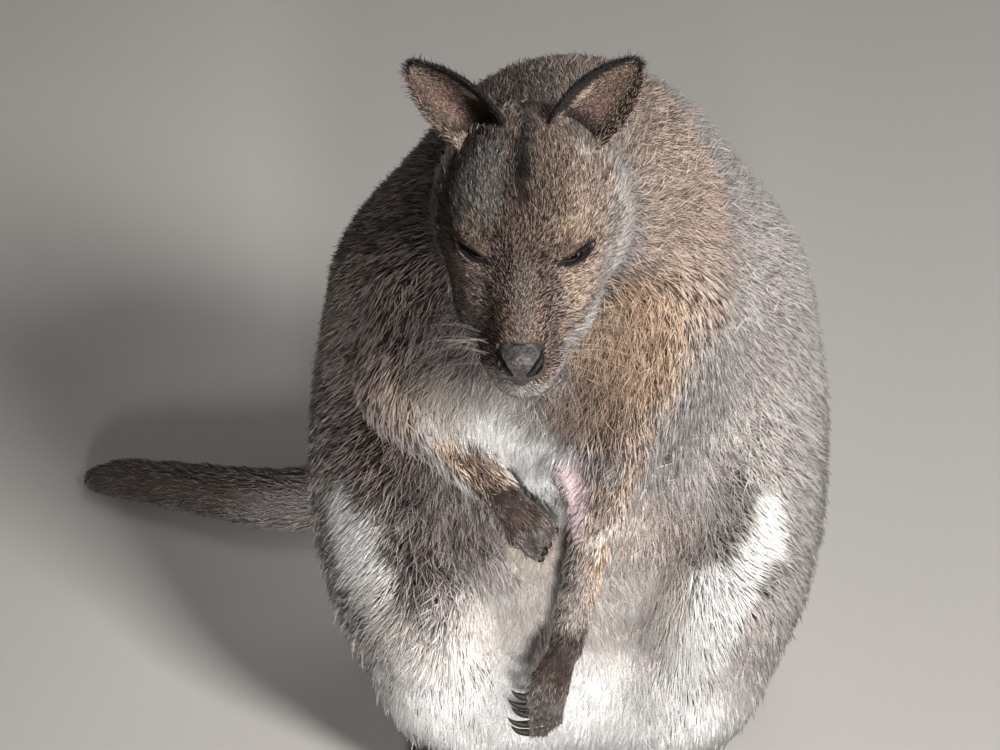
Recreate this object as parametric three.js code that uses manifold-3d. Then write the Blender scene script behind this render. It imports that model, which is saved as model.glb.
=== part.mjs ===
// A Bennett's wallaby at rest, life size: crouched on its hind feet with the tail swept round to
// its right, head lowered, the right hand limp at the chest and the left arm hanging.
// Millimetres, +Z up. The animal faces -Y and its left side is +X. The surfaces are those of the
// coat, out to the tips of the fur.
import * as THREE from "three";
import { mergeVertices } from "three/addons/utils/BufferGeometryUtils.js";
import Module from "manifold-3d";

// ---------------------------------------------------------------- driving dimensions
const GAP = 0.4; // left between neighbouring pieces
const TRUNK_CELL = 35; // size of the cells that the trunk's surface is worked out in
const HEAD_CELL = 13;
const BODY_LOW = [-230, -270, -40]; // the box that the trunk's surface is looked for in
const BODY_HIGH = [230, 260, 530];
const HEAD_REACH = [150, 140, 140]; // half of the head's box
const EYE_RADIUS = 10;
const EAR_LENGTH = 73;
const EAR_HALF_WIDTH = 22.5;
const EAR_THICKNESS = 3.2;
const EAR_CURL = 8; // how far the tip leans towards the open side
const EAR_ARC = { root: 118, tip: 38 }; // half the angle that the shell wraps round
const EAR_ROOT_SHARE = 0.72; // the root's width as a share of the greatest
const EAR_SUNK_SHARE = 0.12; // how much of the length is inside the head
const FOOT_SPREAD = 82; // from the mid-plane to the middle of each hind foot

// The head's own frame: x to its left, y towards the nape, z towards the crown.
const HEAD = { at: [-28, -154, 449], pitch: 38, yaw: -4, roll: 0 };

// ---------------------------------------------------------------- masses of the body
// ball: a spheroid with half-sizes, turned about X by tilt degrees.
// rod: a round bar from one point to another with a radius at each end.
// blend is how far a mass melts into its neighbours, and pair repeats it on the other side.
const BODY_MASSES = [
  { ball: [0, 60, 150], size: [134, 106, 122], blend: 60 }, // pelvis
  { ball: [3, 36, 225], size: [153, 122, 122], blend: 60 }, // loins
  { ball: [0, 18, 302], size: [158, 116, 120], blend: 60 }, // ribs
  { ball: [2, -2, 384], size: [96, 84, 84], blend: 50 }, // withers
  { ball: [-6, -84, 322], size: [90, 70, 80], blend: 50 }, // chest
  { ball: [-50, -104, 300], size: [60, 42, 40], blend: 30 }, // bib, over the right upper arm
  { ball: [-20, -126, 262], size: [22, 24, 26], blend: 20 }, // long hair behind the right hand
  { ball: [0, -48, 180], size: [110, 86, 116], blend: 50 }, // belly
  { ball: [-6, -80, 74], size: [110, 70, 60], blend: 50 }, // groin
  { ball: [112, -4, 172], size: [60, 116, 106], tilt: 12, blend: 44, pair: true }, // thighs
  { ball: [94, -92, 138], size: [46, 54, 60], blend: 40, pair: true }, // knees
  { ball: [70, -96, 68], size: [50, 46, 46], blend: 40 }, // long hair over the left shin
  { ball: [-60, -96, 68], size: [50, 46, 46], blend: 40 }, // and over the right one
  { ball: [104, 30, 62], size: [54, 76, 52], blend: 40 }, // heel of the left haunch
  { ball: [-86, 30, 62], size: [54, 76, 52], blend: 40 }, // heel of the right haunch
  { rod: [[84, -80, 96], [78, -36, 46]], radii: [36, 30], blend: 30, pair: true }, // shins
  { rod: [[0, 96, 88], [12, 190, 38]], radii: [62, 36], blend: 44 }, // root of the tail
  { rod: [[-2, -34, 398], [-24, -106, 434]], radii: [84, 60], blend: 44 }, // neck
  { rod: [[46, -88, 340], [25, -140, 292]], radii: [42, 26], blend: 34 }, // left upper arm
  { rod: [[-86, -66, 350], [-104, -90, 304]], radii: [44, 32], blend: 30 }, // right upper arm
];

const HEAD_MASSES = [
  { ball: [0, 18, 6], size: [45, 50, 40], blend: 20 }, // braincase
  { ball: [0, -14, 14], size: [36, 40, 25], blend: 20 }, // forehead
  { ball: [26, 2, -10], size: [29, 42, 34], blend: 20, pair: true }, // cheeks
  { ball: [31, -22, 15], size: [13, 20, 10], tilt: -20, blend: 10, pair: true }, // brows
  { ball: [24, -34, -6], size: [18, 26, 20], blend: 14, pair: true }, // cheekbones
  { rod: [[0, -24, -2], [0, -76, -10]], radii: [32, 20], blend: 16 }, // muzzle
  { rod: [[0, -20, 20], [0, -84, 2]], radii: [15, 11], blend: 12 }, // bridge of the nose
  { ball: [11, -80, -15], size: [15, 17, 13], blend: 8, pair: true }, // upper lips
  { rod: [[0, -12, -28], [0, -74, -27]], radii: [24, 12], blend: 12 }, // lower jaw
  { ball: [22, -42, -24], size: [21, 30, 16], blend: 14, pair: true }, // jowls
  { ball: [0, -91, -25], size: [18, 14, 12], blend: 8 }, // lip below the nose
];

const NOSE = { at: [0, -93, -1], size: [15.5, 10, 12], nostril: [9, -101, -3], nostrilSize: [5.5, 5, 2.6] };
// In the head's frame, on its left side. out is the way the eye looks.
const EYE = { at: [24.5, -31, 18.5], out: [0.58, -0.42, 0.7] };
const LIDS = { width: 22, height: 5, along: [19.5, 13.9, -2.7], depth: 12 };
const EARS = {
  left: { base: [25.5, 41.5, 27], tip: [34, 25.4, 48], open: [0.15, -0.7, 0.7] },
  right: { base: [-30, 41, 26], tip: [-39.5, 17.7, 45], open: [-0.2, -0.75, 0.65] },
};

// Where pieces are parted: a spheroid, or a plane given by a point on it and the way the piece lies.
const THIGH_CUT = { ball: [150, -10, 162], size: [92, 130, 116] };
const SHIN_CUT = { ball: [100, -14, 34], size: [66, 118, 56] };
const ARM_CUTS = {
  left: { ball: [46, -132, 322], size: [58, 52, 66] },
  right: { ball: [-122, -92, 330], size: [56, 62, 72] },
};
const NECK_PLANE = { at: [-10, -88, 424], normal: [-0.2, -0.85, 0.49] };
const HEAD_PLANE = { at: [0, 20, -5], normal: [0, -0.857, 0.514] }; // in the head's frame
const TAIL_PLANE = { at: [9, 172, 48], normal: [0.12, 0.9, -0.42] };
const PLANE_REACH = { head: 88, neck: 125, tail: 90 };

// Chains of [x, y, z, radius].
const TAIL_PATH = [
  [9, 160, 56, 41], [10, 205, 38, 37], [0, 250, 31, 34], [-45, 275, 28.5, 31.5], [-105, 252, 27, 29],
  [-155, 222, 25, 27], [-205, 214, 22.5, 24.5], [-260, 232, 19, 21], [-325, 256, 15, 16.5], [-351, 266, 9, 10],
];
const TAIL_CUTS = [0.36, 0.7]; // shares of the tail's length
const FOREARMS = {
  left: [[24, -148, 284, 21], [20, -161, 262, 18], [11, -172, 232, 15], [3.5, -176, 196, 13.5], [-3, -176, 158, 11.5]],
  right: [[-96, -100, 302, 25], [-76, -126, 288, 21], [-56, -151, 271, 15.5], [-40, -166, 258, 12.5]],
};
// Digits run from the wrist over a knuckle to the tip, from the first digit to the fifth. lifts raises
// the way of each claw.
const HANDS = {
  left: {
    wrist: [-4, -176, 160],
    knuckles: [[-20, -186, 142], [-10, -184, 108]],
    tips: [[-26, -188, 128], [-24, -178, 94]],
    claw: { way: [-0.95, -0.1, -0.1], bend: [0.15, 0, 1], lifts: [0.1, 0.02, 0.12, -0.06, 0] },
  },
  right: {
    wrist: [-42, -165, 260],
    knuckles: [[-36, -178, 240], [-28, -164, 233]],
    tips: [[-20, -179, 226], [-11, -161, 235]],
    claw: { way: [0, 0.8, -0.6], bend: [0, 1, 0.3], lifts: [0, 0, 0, 0, 0] },
  },
};
const DIGITS = 5;
const PALM_RADIUS = 8.4;
const PALM_SPREAD = [0.2, 0.5, 0.7]; // shares of the knuckles' span, from the wrist to the knuckles
const FINGER_RADIUS = 5;
const FINGER_ARCH = 0.08; // how far a finger bows out, as a share of the palm's length
const HAND_CLAW = { length: 22, radius: 2.4 };
const HAND_CLAW_SHARES = [0.8, 1, 0.86, 1.08, 0.96]; // of that length, from the first digit to the fifth
const CLAW_TAPER = 2; // the power that a claw thins by along its length

// On the left foot, with x from the middle of the foot outwards.
const FOOT_PATH = [[-8, 4, 23, 26], [-6, -30, 20.5, 23.5], [-3, -72, 17, 20.5], [0, -112, 14.5, 18], [0, -140, 12, 15.5]];
const TOES = {
  second: { path: [[-15, -118, 8, 10], [-20, -138, 6, 7], [-21.5, -148, 5, 5.5]], claw: [10, 2] },
  third: { path: [[-11, -120, 8, 10], [-14, -142, 6, 7], [-15, -152, 5, 5.5]], claw: [10, 2] },
  fourth: { path: [[2, -134, 11, 14.5], [4, -170, 9, 12], [5, -190, 7.5, 9.5]], claw: [27, 5] },
  fifth: { path: [[14, -116, 8, 11], [20, -146, 7, 9], [22, -160, 6, 7.5]], claw: [16, 3.6] },
};

// ---------------------------------------------------------------- fields
const RAD = Math.PI / 180;

function turned([x, y, z], degrees) {
  const c = Math.cos(degrees * RAD);
  const s = Math.sin(degrees * RAD);
  return [x, y * c + z * s, z * c - y * s];
}

function ballDistance(p, mass) {
  const q = turned([p[0] - mass.ball[0], p[1] - mass.ball[1], p[2] - mass.ball[2]], mass.tilt ?? 0);
  const near = Math.hypot(...q.map((v, i) => v / mass.size[i]));
  const slope = Math.hypot(...q.map((v, i) => v / mass.size[i] ** 2));
  return slope < 1e-9 ? -Math.min(...mass.size) : (near * (near - 1)) / slope;
}

function rodDistance(p, mass) {
  const [a, b] = mass.rod;
  const along = b.map((v, i) => v - a[i]);
  const from = p.map((v, i) => v - a[i]);
  const dot = along.reduce((sum, v, i) => sum + v * from[i], 0);
  const t = THREE.MathUtils.clamp(dot / along.reduce((sum, v) => sum + v * v, 0), 0, 1);
  const off = Math.hypot(...from.map((v, i) => v - t * along[i]));
  return off - THREE.MathUtils.lerp(mass.radii[0], mass.radii[1], t);
}

const massDistance = (p, mass) => (mass.ball ? ballDistance(p, mass) : rodDistance(p, mass));

function smoothUnion(a, b, blend) {
  const h = Math.max(blend - Math.abs(a - b), 0) / blend;
  return Math.min(a, b) - (h * h * blend) / 4;
}

function masses(p, list, start = 1e6) {
  let d = start;
  for (const mass of list) {
    d = smoothUnion(d, massDistance(p, mass), mass.blend);
    if (mass.pair) d = smoothUnion(d, massDistance([-p[0], p[1], p[2]], mass), mass.blend);
  }
  return d;
}

const headMatrix = new THREE.Matrix4()
  .makeTranslation(...HEAD.at)
  .multiply(new THREE.Matrix4().makeRotationZ(HEAD.yaw * RAD))
  .multiply(new THREE.Matrix4().makeRotationX(HEAD.pitch * RAD))
  .multiply(new THREE.Matrix4().makeRotationY(HEAD.roll * RAD));
const headInverse = headMatrix.clone().invert();

function fleshField(p) {
  const local = new THREE.Vector3(...p).applyMatrix4(headInverse).toArray();
  const head = masses(local, HEAD_MASSES);
  return smoothUnion(masses(p, BODY_MASSES), head, 26);
}

// ---------------------------------------------------------------- surfaces
// One vertex for each cell that the surface crosses, then moved on to the level of the field.
function surfaceOf(field, low, high, cell, level = 0) {
  const count = low.map((v, i) => Math.ceil((high[i] - v) / cell) + 1);
  const at = (i, j, k) => [low[0] + i * cell, low[1] + j * cell, low[2] + k * cell];
  const index = (i, j, k) => (k * count[1] + j) * count[0] + i;
  const value = new Float64Array(count[0] * count[1] * count[2]);
  const edge = (i, n) => i === 0 || i === n - 1;
  for (let k = 0; k < count[2]; k++)
    for (let j = 0; j < count[1]; j++)
      for (let i = 0; i < count[0]; i++) {
        const outside = edge(i, count[0]) || edge(j, count[1]) || edge(k, count[2]);
        value[index(i, j, k)] = outside ? cell : field(at(i, j, k)) - level;
      }
  const vertices = [];
  const vertexOf = new Map();
  const corners = [[0, 0, 0], [1, 0, 0], [0, 1, 0], [1, 1, 0], [0, 0, 1], [1, 0, 1], [0, 1, 1], [1, 1, 1]];
  const edges = [];
  for (let a = 0; a < 8; a++)
    for (const bit of [1, 2, 4]) if (!(a & bit)) edges.push([a, a | bit]);
  for (let k = 0; k < count[2] - 1; k++)
    for (let j = 0; j < count[1] - 1; j++)
      for (let i = 0; i < count[0] - 1; i++) {
        const v = corners.map(([x, y, z]) => value[index(i + x, j + y, k + z)]);
        const sum = [0, 0, 0];
        let crossed = 0;
        for (const [a, b] of edges) {
          if (v[a] < 0 === v[b] < 0) continue;
          const t = v[a] / (v[a] - v[b]);
          corners[a].forEach((c, n) => (sum[n] += c + t * (corners[b][n] - c)));
          crossed++;
        }
        if (!crossed) continue;
        vertexOf.set(index(i, j, k), vertices.length);
        vertices.push(at(i + sum[0] / crossed, j + sum[1] / crossed, k + sum[2] / crossed));
      }
  const faces = [];
  const steps = [[1, 0, 0], [0, 1, 0], [0, 0, 1]];
  for (let k = 0; k < count[2] - 1; k++)
    for (let j = 0; j < count[1] - 1; j++)
      for (let i = 0; i < count[0] - 1; i++)
        steps.forEach(([x, y, z], axis) => {
          const here = value[index(i, j, k)];
          const there = value[index(i + x, j + y, k + z)];
          if (here < 0 === there < 0) return;
          const [u, w] = [steps[(axis + 1) % 3], steps[(axis + 2) % 3]];
          const ring = [[0, 0], [1, 0], [1, 1], [0, 1]].map(([a, b]) =>
            vertexOf.get(index(i - a * u[0] - b * w[0], j - a * u[1] - b * w[1], k - a * u[2] - b * w[2])));
          const [a, b, c, d] = here < 0 ? ring : ring.slice().reverse();
          faces.push(a, b, c, a, c, d);
        });
  for (const p of vertices) settle(p, field, level, low, high, cell);
  const geometry = new THREE.BufferGeometry();
  geometry.setAttribute("position", new THREE.Float32BufferAttribute(vertices.flat(), 3));
  geometry.setIndex(faces);
  return geometry;
}

function settle(p, field, level, low, high, cell) {
  const onWall = p.some((v, i) => v < low[i] + 1.5 * cell || v > high[i] - 1.5 * cell);
  if (onWall) return;
  const step = 0.5;
  for (let pass = 0; pass < 3; pass++) {
    const d = field(p) - level;
    const slope = p.map((v, i) => {
      const q = p.slice();
      q[i] += step;
      return (field(q) - level - d) / step;
    });
    const steep = slope.reduce((sum, v) => sum + v * v, 0);
    if (steep < 1e-6) return;
    const move = THREE.MathUtils.clamp(d / steep, -cell / 2, cell / 2);
    slope.forEach((v, i) => (p[i] -= move * v));
  }
}

// Rings of points, each closed on itself, skinned into one closed surface. The end rings shrink to
// the points given, or close as flat faces round their middles, or side to side when folded.
function skinned(rings, { first, last, folded = false } = {}) {
  const sides = rings[0].length;
  const points = rings.flat();
  const faces = [];
  const at = (ring, s) => ring * sides + (s % sides);
  for (let ring = 0; ring < rings.length - 1; ring++)
    for (let s = 0; s < sides; s++) {
      faces.push(at(ring, s), at(ring, s + 1), at(ring + 1, s + 1));
      faces.push(at(ring, s), at(ring + 1, s + 1), at(ring + 1, s));
    }
  const end = rings.length - 1;
  if (folded) {
    for (let s = 0; s < sides / 2 - 1; s++) {
      const across = sides - 1 - s;
      faces.push(at(0, s), at(0, across), at(0, s + 1), at(0, s + 1), at(0, across), at(0, across - 1));
      faces.push(at(end, s), at(end, s + 1), at(end, across), at(end, s + 1), at(end, across - 1), at(end, across));
    }
  } else {
    const middle = (ring) => ring.reduce((sum, p) => sum.add(p), new THREE.Vector3()).divideScalar(sides);
    points.push(first ?? middle(rings[0]), last ?? middle(rings[end]));
    for (let s = 0; s < sides; s++) {
      faces.push(points.length - 2, at(0, s + 1), at(0, s));
      faces.push(points.length - 1, at(end, s), at(end, s + 1));
    }
  }
  const geometry = new THREE.BufferGeometry();
  geometry.setAttribute("position", new THREE.Float32BufferAttribute(points.flatMap((p) => p.toArray()), 3));
  geometry.setIndex(faces);
  return geometry;
}

// A closed tube through [x, y, z, radius] points. Its ends are round unless open says flat, from and
// to are the shares of its length it runs between, and swell makes it thicker all over. spread
// widens it at each point along the way given by across.
function tube(path, { sides = 8, rings = 5, from = 0, to = 1, swell = 0, flat = [false, false], across, spread } = {}) {
  const curve = new THREE.CatmullRomCurve3(path.map((p) => new THREE.Vector3(...p)), false, "centripetal");
  const radiusAt = (t) => {
    const place = t * (path.length - 1);
    const i = Math.min(Math.floor(place), path.length - 2);
    return THREE.MathUtils.lerp(path[i][3], path[i + 1][3], place - i) + swell;
  };
  const span = new THREE.Vector3(...path.at(-1)).sub(new THREE.Vector3(...path[0]));
  const reach = span.toArray().map(Math.abs);
  const up = across?.clone() ?? new THREE.Vector3().setComponent(reach.indexOf(Math.min(...reach)), 1);
  const widthAt = (t) => (spread ? spread[Math.round(t * (path.length - 1))] : 0);
  const ringAt = (t, out, share) => {
    const along = curve.getTangent(t);
    const side = new THREE.Vector3().crossVectors(along, up).normalize();
    const over = new THREE.Vector3().crossVectors(side, along);
    const centre = curve.getPoint(t).addScaledVector(along, out * radiusAt(t));
    return Array.from({ length: sides }, (_, s) => {
      const angle = (-2 * Math.PI * s) / sides;
      return centre.clone()
        .addScaledVector(side, Math.cos(angle) * radiusAt(t) * share)
        .addScaledVector(over, Math.sin(angle) * (radiusAt(t) + widthAt(t)) * share);
    });
  };
  const list = [];
  const dome = [0.66, 0.75]; // one ring on each round end: how far out, and how wide
  if (!flat[0]) list.push(ringAt(from, -dome[0], dome[1]));
  for (let i = 0; i <= rings; i++) list.push(ringAt(from + ((to - from) * i) / rings, 0, 1));
  if (!flat[1]) list.push(ringAt(to, dome[0], dome[1]));
  const pole = (t, way) => curve.getPoint(t).addScaledVector(curve.getTangent(t), way * radiusAt(t));
  return skinned(list, { first: flat[0] ? undefined : pole(from, -1), last: flat[1] ? undefined : pole(to, 1) });
}

// A curved cone from a root, starting along one way and bending to another.
function claw(root, way, bend, length, radius, swell = 0) {
  const start = new THREE.Vector3(...root);
  const a = new THREE.Vector3(...way).normalize();
  const b = new THREE.Vector3(...bend).normalize();
  const path = [0, 0.35, 0.7, 1].map((t) => {
    const at = start.clone().addScaledVector(a, length * (t - 0.25 * t * t)).addScaledVector(b, length * 0.4 * t * t);
    return [...at.toArray(), Math.max(radius * (1 - t ** CLAW_TAPER), 0.5)];
  });
  return tube(path, { sides: 5, rings: 3, swell, flat: [true, true] });
}

// ---------------------------------------------------------------- solids
const kernel = await Module();
kernel.setup();

function solid(geometry) {
  const bare = new THREE.BufferGeometry();
  bare.setAttribute("position", geometry.getAttribute("position"));
  bare.setIndex(geometry.index);
  const merged = mergeVertices(bare, 1e-4);
  return new kernel.Manifold(new kernel.Mesh({
    numProp: 3,
    vertProperties: merged.attributes.position.array,
    triVerts: new Uint32Array(merged.index.array),
  }));
}

// Where two sheets of the surface touch at a cell it can't be closed, so the grid is moved a little.
function fleshSolid(low, high, cell, level = 0) {
  for (let move = 0; move < cell; move += cell / 8) {
    try {
      return solid(surfaceOf(fleshField, low.map((v) => v - move), high, cell, level));
    } catch (error) {
      if (error.code !== "NotManifold") throw error;
    }
  }
  throw new Error("the surface of the flesh isn't closed");
}

const joined = (list) => list.reduce((sum, s) => sum.add(s));
const largest = (s) => s.decompose().reduce((a, b) => (b.volume() > a.volume() ? b : a));

// A block that fills the side of a plane that the normal points to, as far as reach.
function beyond({ at, normal }, reach, swell = 0) {
  const way = new THREE.Vector3(...normal).normalize();
  const block = new THREE.BoxGeometry(2 * (reach + swell), 2 * (reach + swell), 2 * reach + swell);
  block.translate(0, 0, reach - swell / 2);
  block.applyQuaternion(new THREE.Quaternion().setFromUnitVectors(new THREE.Vector3(0, 0, 1), way));
  return solid(block.translate(...at));
}

function spheroid({ ball, size }, swell = 0, sides = 12) {
  const round = new THREE.SphereGeometry(1, sides, Math.round(sides * 0.6));
  return solid(round.scale(...size.map((v) => v + swell)).translate(...ball));
}

const mirrored = (cut) => ({ ...cut, ball: [-cut.ball[0], cut.ball[1], cut.ball[2]] });
const toBody = ([x, y, z]) => new THREE.Vector3(x, y, z).applyMatrix4(headMatrix).toArray();
const turnToBody = ([x, y, z]) => new THREE.Vector3(x, y, z).transformDirection(headMatrix).toArray();

// ---------------------------------------------------------------- pieces
const pieces = new Map();
const aboveFloor = beyond({ at: [0, 0, 0], normal: [0, 0, 1] }, 1000);
const sideNames = [["left", 1], ["right", -1]];

// Each foot's metatarsus and toes, then its claws.
const feet = {};
for (const [side, sign] of sideNames) {
  const place = (path) => path.map(([x, y, z, r]) => [sign * (FOOT_SPREAD + x), y, z, r]);
  const footAt = (swell) => joined([
    solid(tube(place(FOOT_PATH), { sides: 8, rings: 3, swell })),
    ...Object.values(TOES).map(({ path }) => solid(tube(place(path), { sides: 5, rings: 2, swell, flat: [true, false] }))),
  ]).intersect(aboveFloor);
  let foot = footAt(0);
  feet[side] = solid(tube(place(FOOT_PATH), { sides: 8, rings: 3, swell: GAP }));
  for (const [toe, { path, claw: [length, radius] }] of Object.entries(TOES)) {
    const [before, tip] = place(path).slice(-2);
    const way = [tip[0] - before[0], tip[1] - before[1], tip[2] - before[2]];
    const root = [tip[0], tip[1] - tip[3] * 0.4, tip[2] + tip[3] * 0.2];
    const clawAt = (swell) => solid(claw(root, way, [0, 0, -1], length, radius, swell)).intersect(aboveFloor);
    foot = foot.subtract(clawAt(GAP));
    pieces.set(`claw_foot_${side}_${toe}`, clawAt(0));
  }
  pieces.set(`foot_${side}`, largest(foot));
}

// Forearms, hands and their claws.
const arms = {};
for (const [side] of sideNames) {
  const forearmAt = (swell) => solid(tube(FOREARMS[side], { sides: 8, rings: 4, swell }));
  const { wrist, knuckles, tips, claw: shape } = HANDS[side];
  const between = (ends, share) => ends[0].map((v, i) => THREE.MathUtils.lerp(v, ends[1][i], share));
  const digits = Array.from({ length: DIGITS }, (_, n) => {
    const share = n / (DIGITS - 1);
    const knuckle = between(knuckles, share);
    const tip = between(tips, share);
    const middle = knuckle.map((v, i) => (v + tip[i]) / 2 + (v - wrist[i]) * FINGER_ARCH);
    const path = [[...knuckle, FINGER_RADIUS * 1.2], [...middle, FINGER_RADIUS], [...tip, FINGER_RADIUS * 0.9]];
    return { tip, path };
  });
  const across = new THREE.Vector3(...knuckles[1]).sub(new THREE.Vector3(...knuckles[0]));
  const spread = PALM_SPREAD.map((share) => (share * across.length()) / 2);
  const palmPath = [0, 0.5, 1].map((t) => [...between([wrist, between(knuckles, 0.5)], t), PALM_RADIUS]);
  let hand = joined([
    solid(tube(palmPath, { sides: 6, rings: 2, across, spread })),
    ...digits.map(({ path }) => solid(tube(path, { sides: 5, rings: 2, flat: [true, false] }))),
  ]).subtract(forearmAt(GAP));
  arms[side] = forearmAt(GAP);
  digits.forEach(({ tip }, n) => {
    const way = new THREE.Vector3(...shape.way).normalize().toArray();
    way[2] += shape.lifts[n];
    const length = HAND_CLAW.length * HAND_CLAW_SHARES[n];
    const clawAt = (swell) => solid(claw(tip, way, shape.bend, length, HAND_CLAW.radius, swell));
    hand = hand.subtract(clawAt(GAP));
    pieces.set(`claw_hand_${side}_${n + 1}`, clawAt(0));
  });
  pieces.set(`hand_${side}`, largest(hand));
  pieces.set(`forearm_${side}`, forearmAt(0));
}

// The tail in three lengths, its root cut square against the trunk.
const tailShares = [0, ...TAIL_CUTS, 1];
const inFrontOfTail = { ...TAIL_PLANE, normal: TAIL_PLANE.normal.map((v) => -v) };
const TAIL_GAP_SHARE = 0.0006;
["tail_base", "tail_middle", "tail_tip"].forEach((name, n) => {
  const from = tailShares[n] + (n > 0 ? TAIL_GAP_SHARE : 0);
  const to = tailShares[n + 1] - (n < 2 ? TAIL_GAP_SHARE : 0);
  let length = solid(tube(TAIL_PATH, { sides: 12, rings: n ? 4 : 5, from, to, flat: [n > 0, n < 2] }));
  if (n === 0) length = length.subtract(beyond(inFrontOfTail, PLANE_REACH.tail));
  pieces.set(name, largest(length.intersect(aboveFloor)));
});

// The head, with the eyes behind their lids, the nose pad and the ears.
const headPlane = { at: toBody(HEAD_PLANE.at), normal: turnToBody(HEAD_PLANE.normal) };
const headLow = HEAD.at.map((v, i) => v - HEAD_REACH[i]);
const headHigh = HEAD.at.map((v, i) => v + HEAD_REACH[i]);
const headAt = (level) => fleshSolid(headLow, headHigh, HEAD_CELL, level);
let head = headAt(0).intersect(beyond(headPlane, PLANE_REACH.head));
const headClear = headAt(GAP);

const nosePad = spheroid({ ball: NOSE.at, size: NOSE.size }, 0, 10);
const inHead = (s) => s.transform(headMatrix.elements);
const nostrils = [1, -1].map((sign) => {
  const [x, y, z] = NOSE.nostril;
  return spheroid({ ball: [sign * x, y, z], size: NOSE.nostrilSize }, 0, 6);
});
pieces.set("nose", inHead(nosePad.subtract(joined(nostrils))));
head = head.subtract(inHead(spheroid({ ball: NOSE.at, size: NOSE.size }, GAP, 10)));

for (const [side, sign] of sideNames) {
  const centre = [sign * EYE.at[0], EYE.at[1], EYE.at[2]];
  const out = new THREE.Vector3(sign * EYE.out[0], EYE.out[1], EYE.out[2]).normalize();
  const eyeAt = (swell) => spheroid({ ball: centre, size: [EYE_RADIUS, EYE_RADIUS, EYE_RADIUS] }, swell, 10);
  pieces.set(`eye_${side}`, inHead(eyeAt(0)));
  const lids = new THREE.Shape().absellipse(0, 0, LIDS.width / 2, LIDS.height / 2, 0, 2 * Math.PI);
  const slit = new THREE.ExtrudeGeometry(lids, { depth: EYE_RADIUS + LIDS.depth, bevelEnabled: false, curveSegments: 5 });
  const along = new THREE.Vector3(sign * LIDS.along[0], LIDS.along[1], LIDS.along[2]);
  along.addScaledVector(out, -along.dot(out)).normalize();
  const turn = new THREE.Matrix4().makeBasis(along, new THREE.Vector3().crossVectors(out, along), out);
  slit.applyMatrix4(turn.setPosition(...centre));
  head = head.subtract(inHead(eyeAt(GAP).add(solid(slit))));

  const { base, tip, open } = EARS[side];
  pieces.set(`ear_${side}`, largest(inHead(solid(earShell(base, tip, open))).subtract(headClear)));
}
pieces.set("head", largest(head));

// A cup rolled about a line from base towards tip, open towards open, and closing at the tip.
function earShell(base, tip, open) {
  const along = new THREE.Vector3(...tip).normalize();
  const facing = new THREE.Vector3(...open);
  facing.addScaledVector(along, -facing.dot(along)).normalize();
  const side = new THREE.Vector3().crossVectors(along, facing);
  const rows = 6;
  const columns = 5;
  const rootRadius = EAR_ROOT_SHARE * EAR_HALF_WIDTH;
  const rings = [];
  for (let row = 0; row <= rows; row++) {
    const u = row / rows;
    const swell = EAR_ROOT_SHARE + 4 * (1 - EAR_ROOT_SHARE) * u * (1 - u);
    const half = EAR_HALF_WIDTH * swell * Math.sqrt(Math.max(1 - u ** 3, 0.012));
    const arc = THREE.MathUtils.lerp(EAR_ARC.root, EAR_ARC.tip, Math.sqrt(u)) * RAD;
    const radius = half / Math.sin(Math.min(arc, Math.PI / 2));
    const wall = Math.min(EAR_THICKNESS * (1 - 0.4 * u), radius * 0.5);
    const outer = [];
    const inner = [];
    for (let column = 0; column <= columns; column++) {
      const angle = arc * ((2 * column) / columns - 1);
      const at = (r) => new THREE.Vector3(...base)
        .addScaledVector(along, EAR_LENGTH * (u - EAR_SUNK_SHARE))
        .addScaledVector(side, r * Math.sin(angle))
        .addScaledVector(facing, radius - r * Math.cos(angle) + EAR_CURL * u * u - rootRadius);
      outer.push(at(radius));
      inner.push(at(radius - wall));
    }
    rings.push([...outer.reverse(), ...inner]);
  }
  return skinned(rings, { folded: true });
}

// The trunk, parted at the limbs, the neck and the tail.
let rest = fleshSolid(BODY_LOW, BODY_HIGH, TRUNK_CELL).intersect(aboveFloor);
rest = rest.subtract(beyond(headPlane, PLANE_REACH.head, GAP)).subtract(beyond(TAIL_PLANE, PLANE_REACH.tail, GAP));
for (const [side] of sideNames) rest = rest.subtract(feet[side]).subtract(arms[side]);
function part(name, cutAt) {
  pieces.set(name, largest(rest.intersect(cutAt(0))));
  rest = rest.subtract(cutAt(GAP));
}
part("thigh_left", (swell) => spheroid(THIGH_CUT, swell));
part("thigh_right", (swell) => spheroid(mirrored(THIGH_CUT), swell));
part("shank_left", (swell) => spheroid(SHIN_CUT, swell));
part("shank_right", (swell) => spheroid(mirrored(SHIN_CUT), swell));
part("upper_arm_left", (swell) => spheroid(ARM_CUTS.left, swell));
part("upper_arm_right", (swell) => spheroid(ARM_CUTS.right, swell));
part("neck", (swell) => beyond(NECK_PLANE, PLANE_REACH.neck, swell));
pieces.set("trunk", largest(rest));

// ---------------------------------------------------------------- meshes
const LOOKS = {
  fur: { color: 0x8a7763, roughness: 0.95, metalness: 0 },
  dark_fur: { color: 0x3a2d26, roughness: 0.95, metalness: 0 },
  eye: { color: 0x120c0a, roughness: 0.08, metalness: 0 },
  nose: { color: 0x2a2726, roughness: 0.55, metalness: 0 },
  claw: { color: 0x1d1815, roughness: 0.4, metalness: 0 },
};

function lookOf(name) {
  if (name.startsWith("claw")) return LOOKS.claw;
  if (name.startsWith("eye")) return LOOKS.eye;
  if (name === "nose") return LOOKS.nose;
  return name.startsWith("hand") || name.startsWith("foot") || name.startsWith("tail") ? LOOKS.dark_fur : LOOKS.fur;
}

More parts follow.
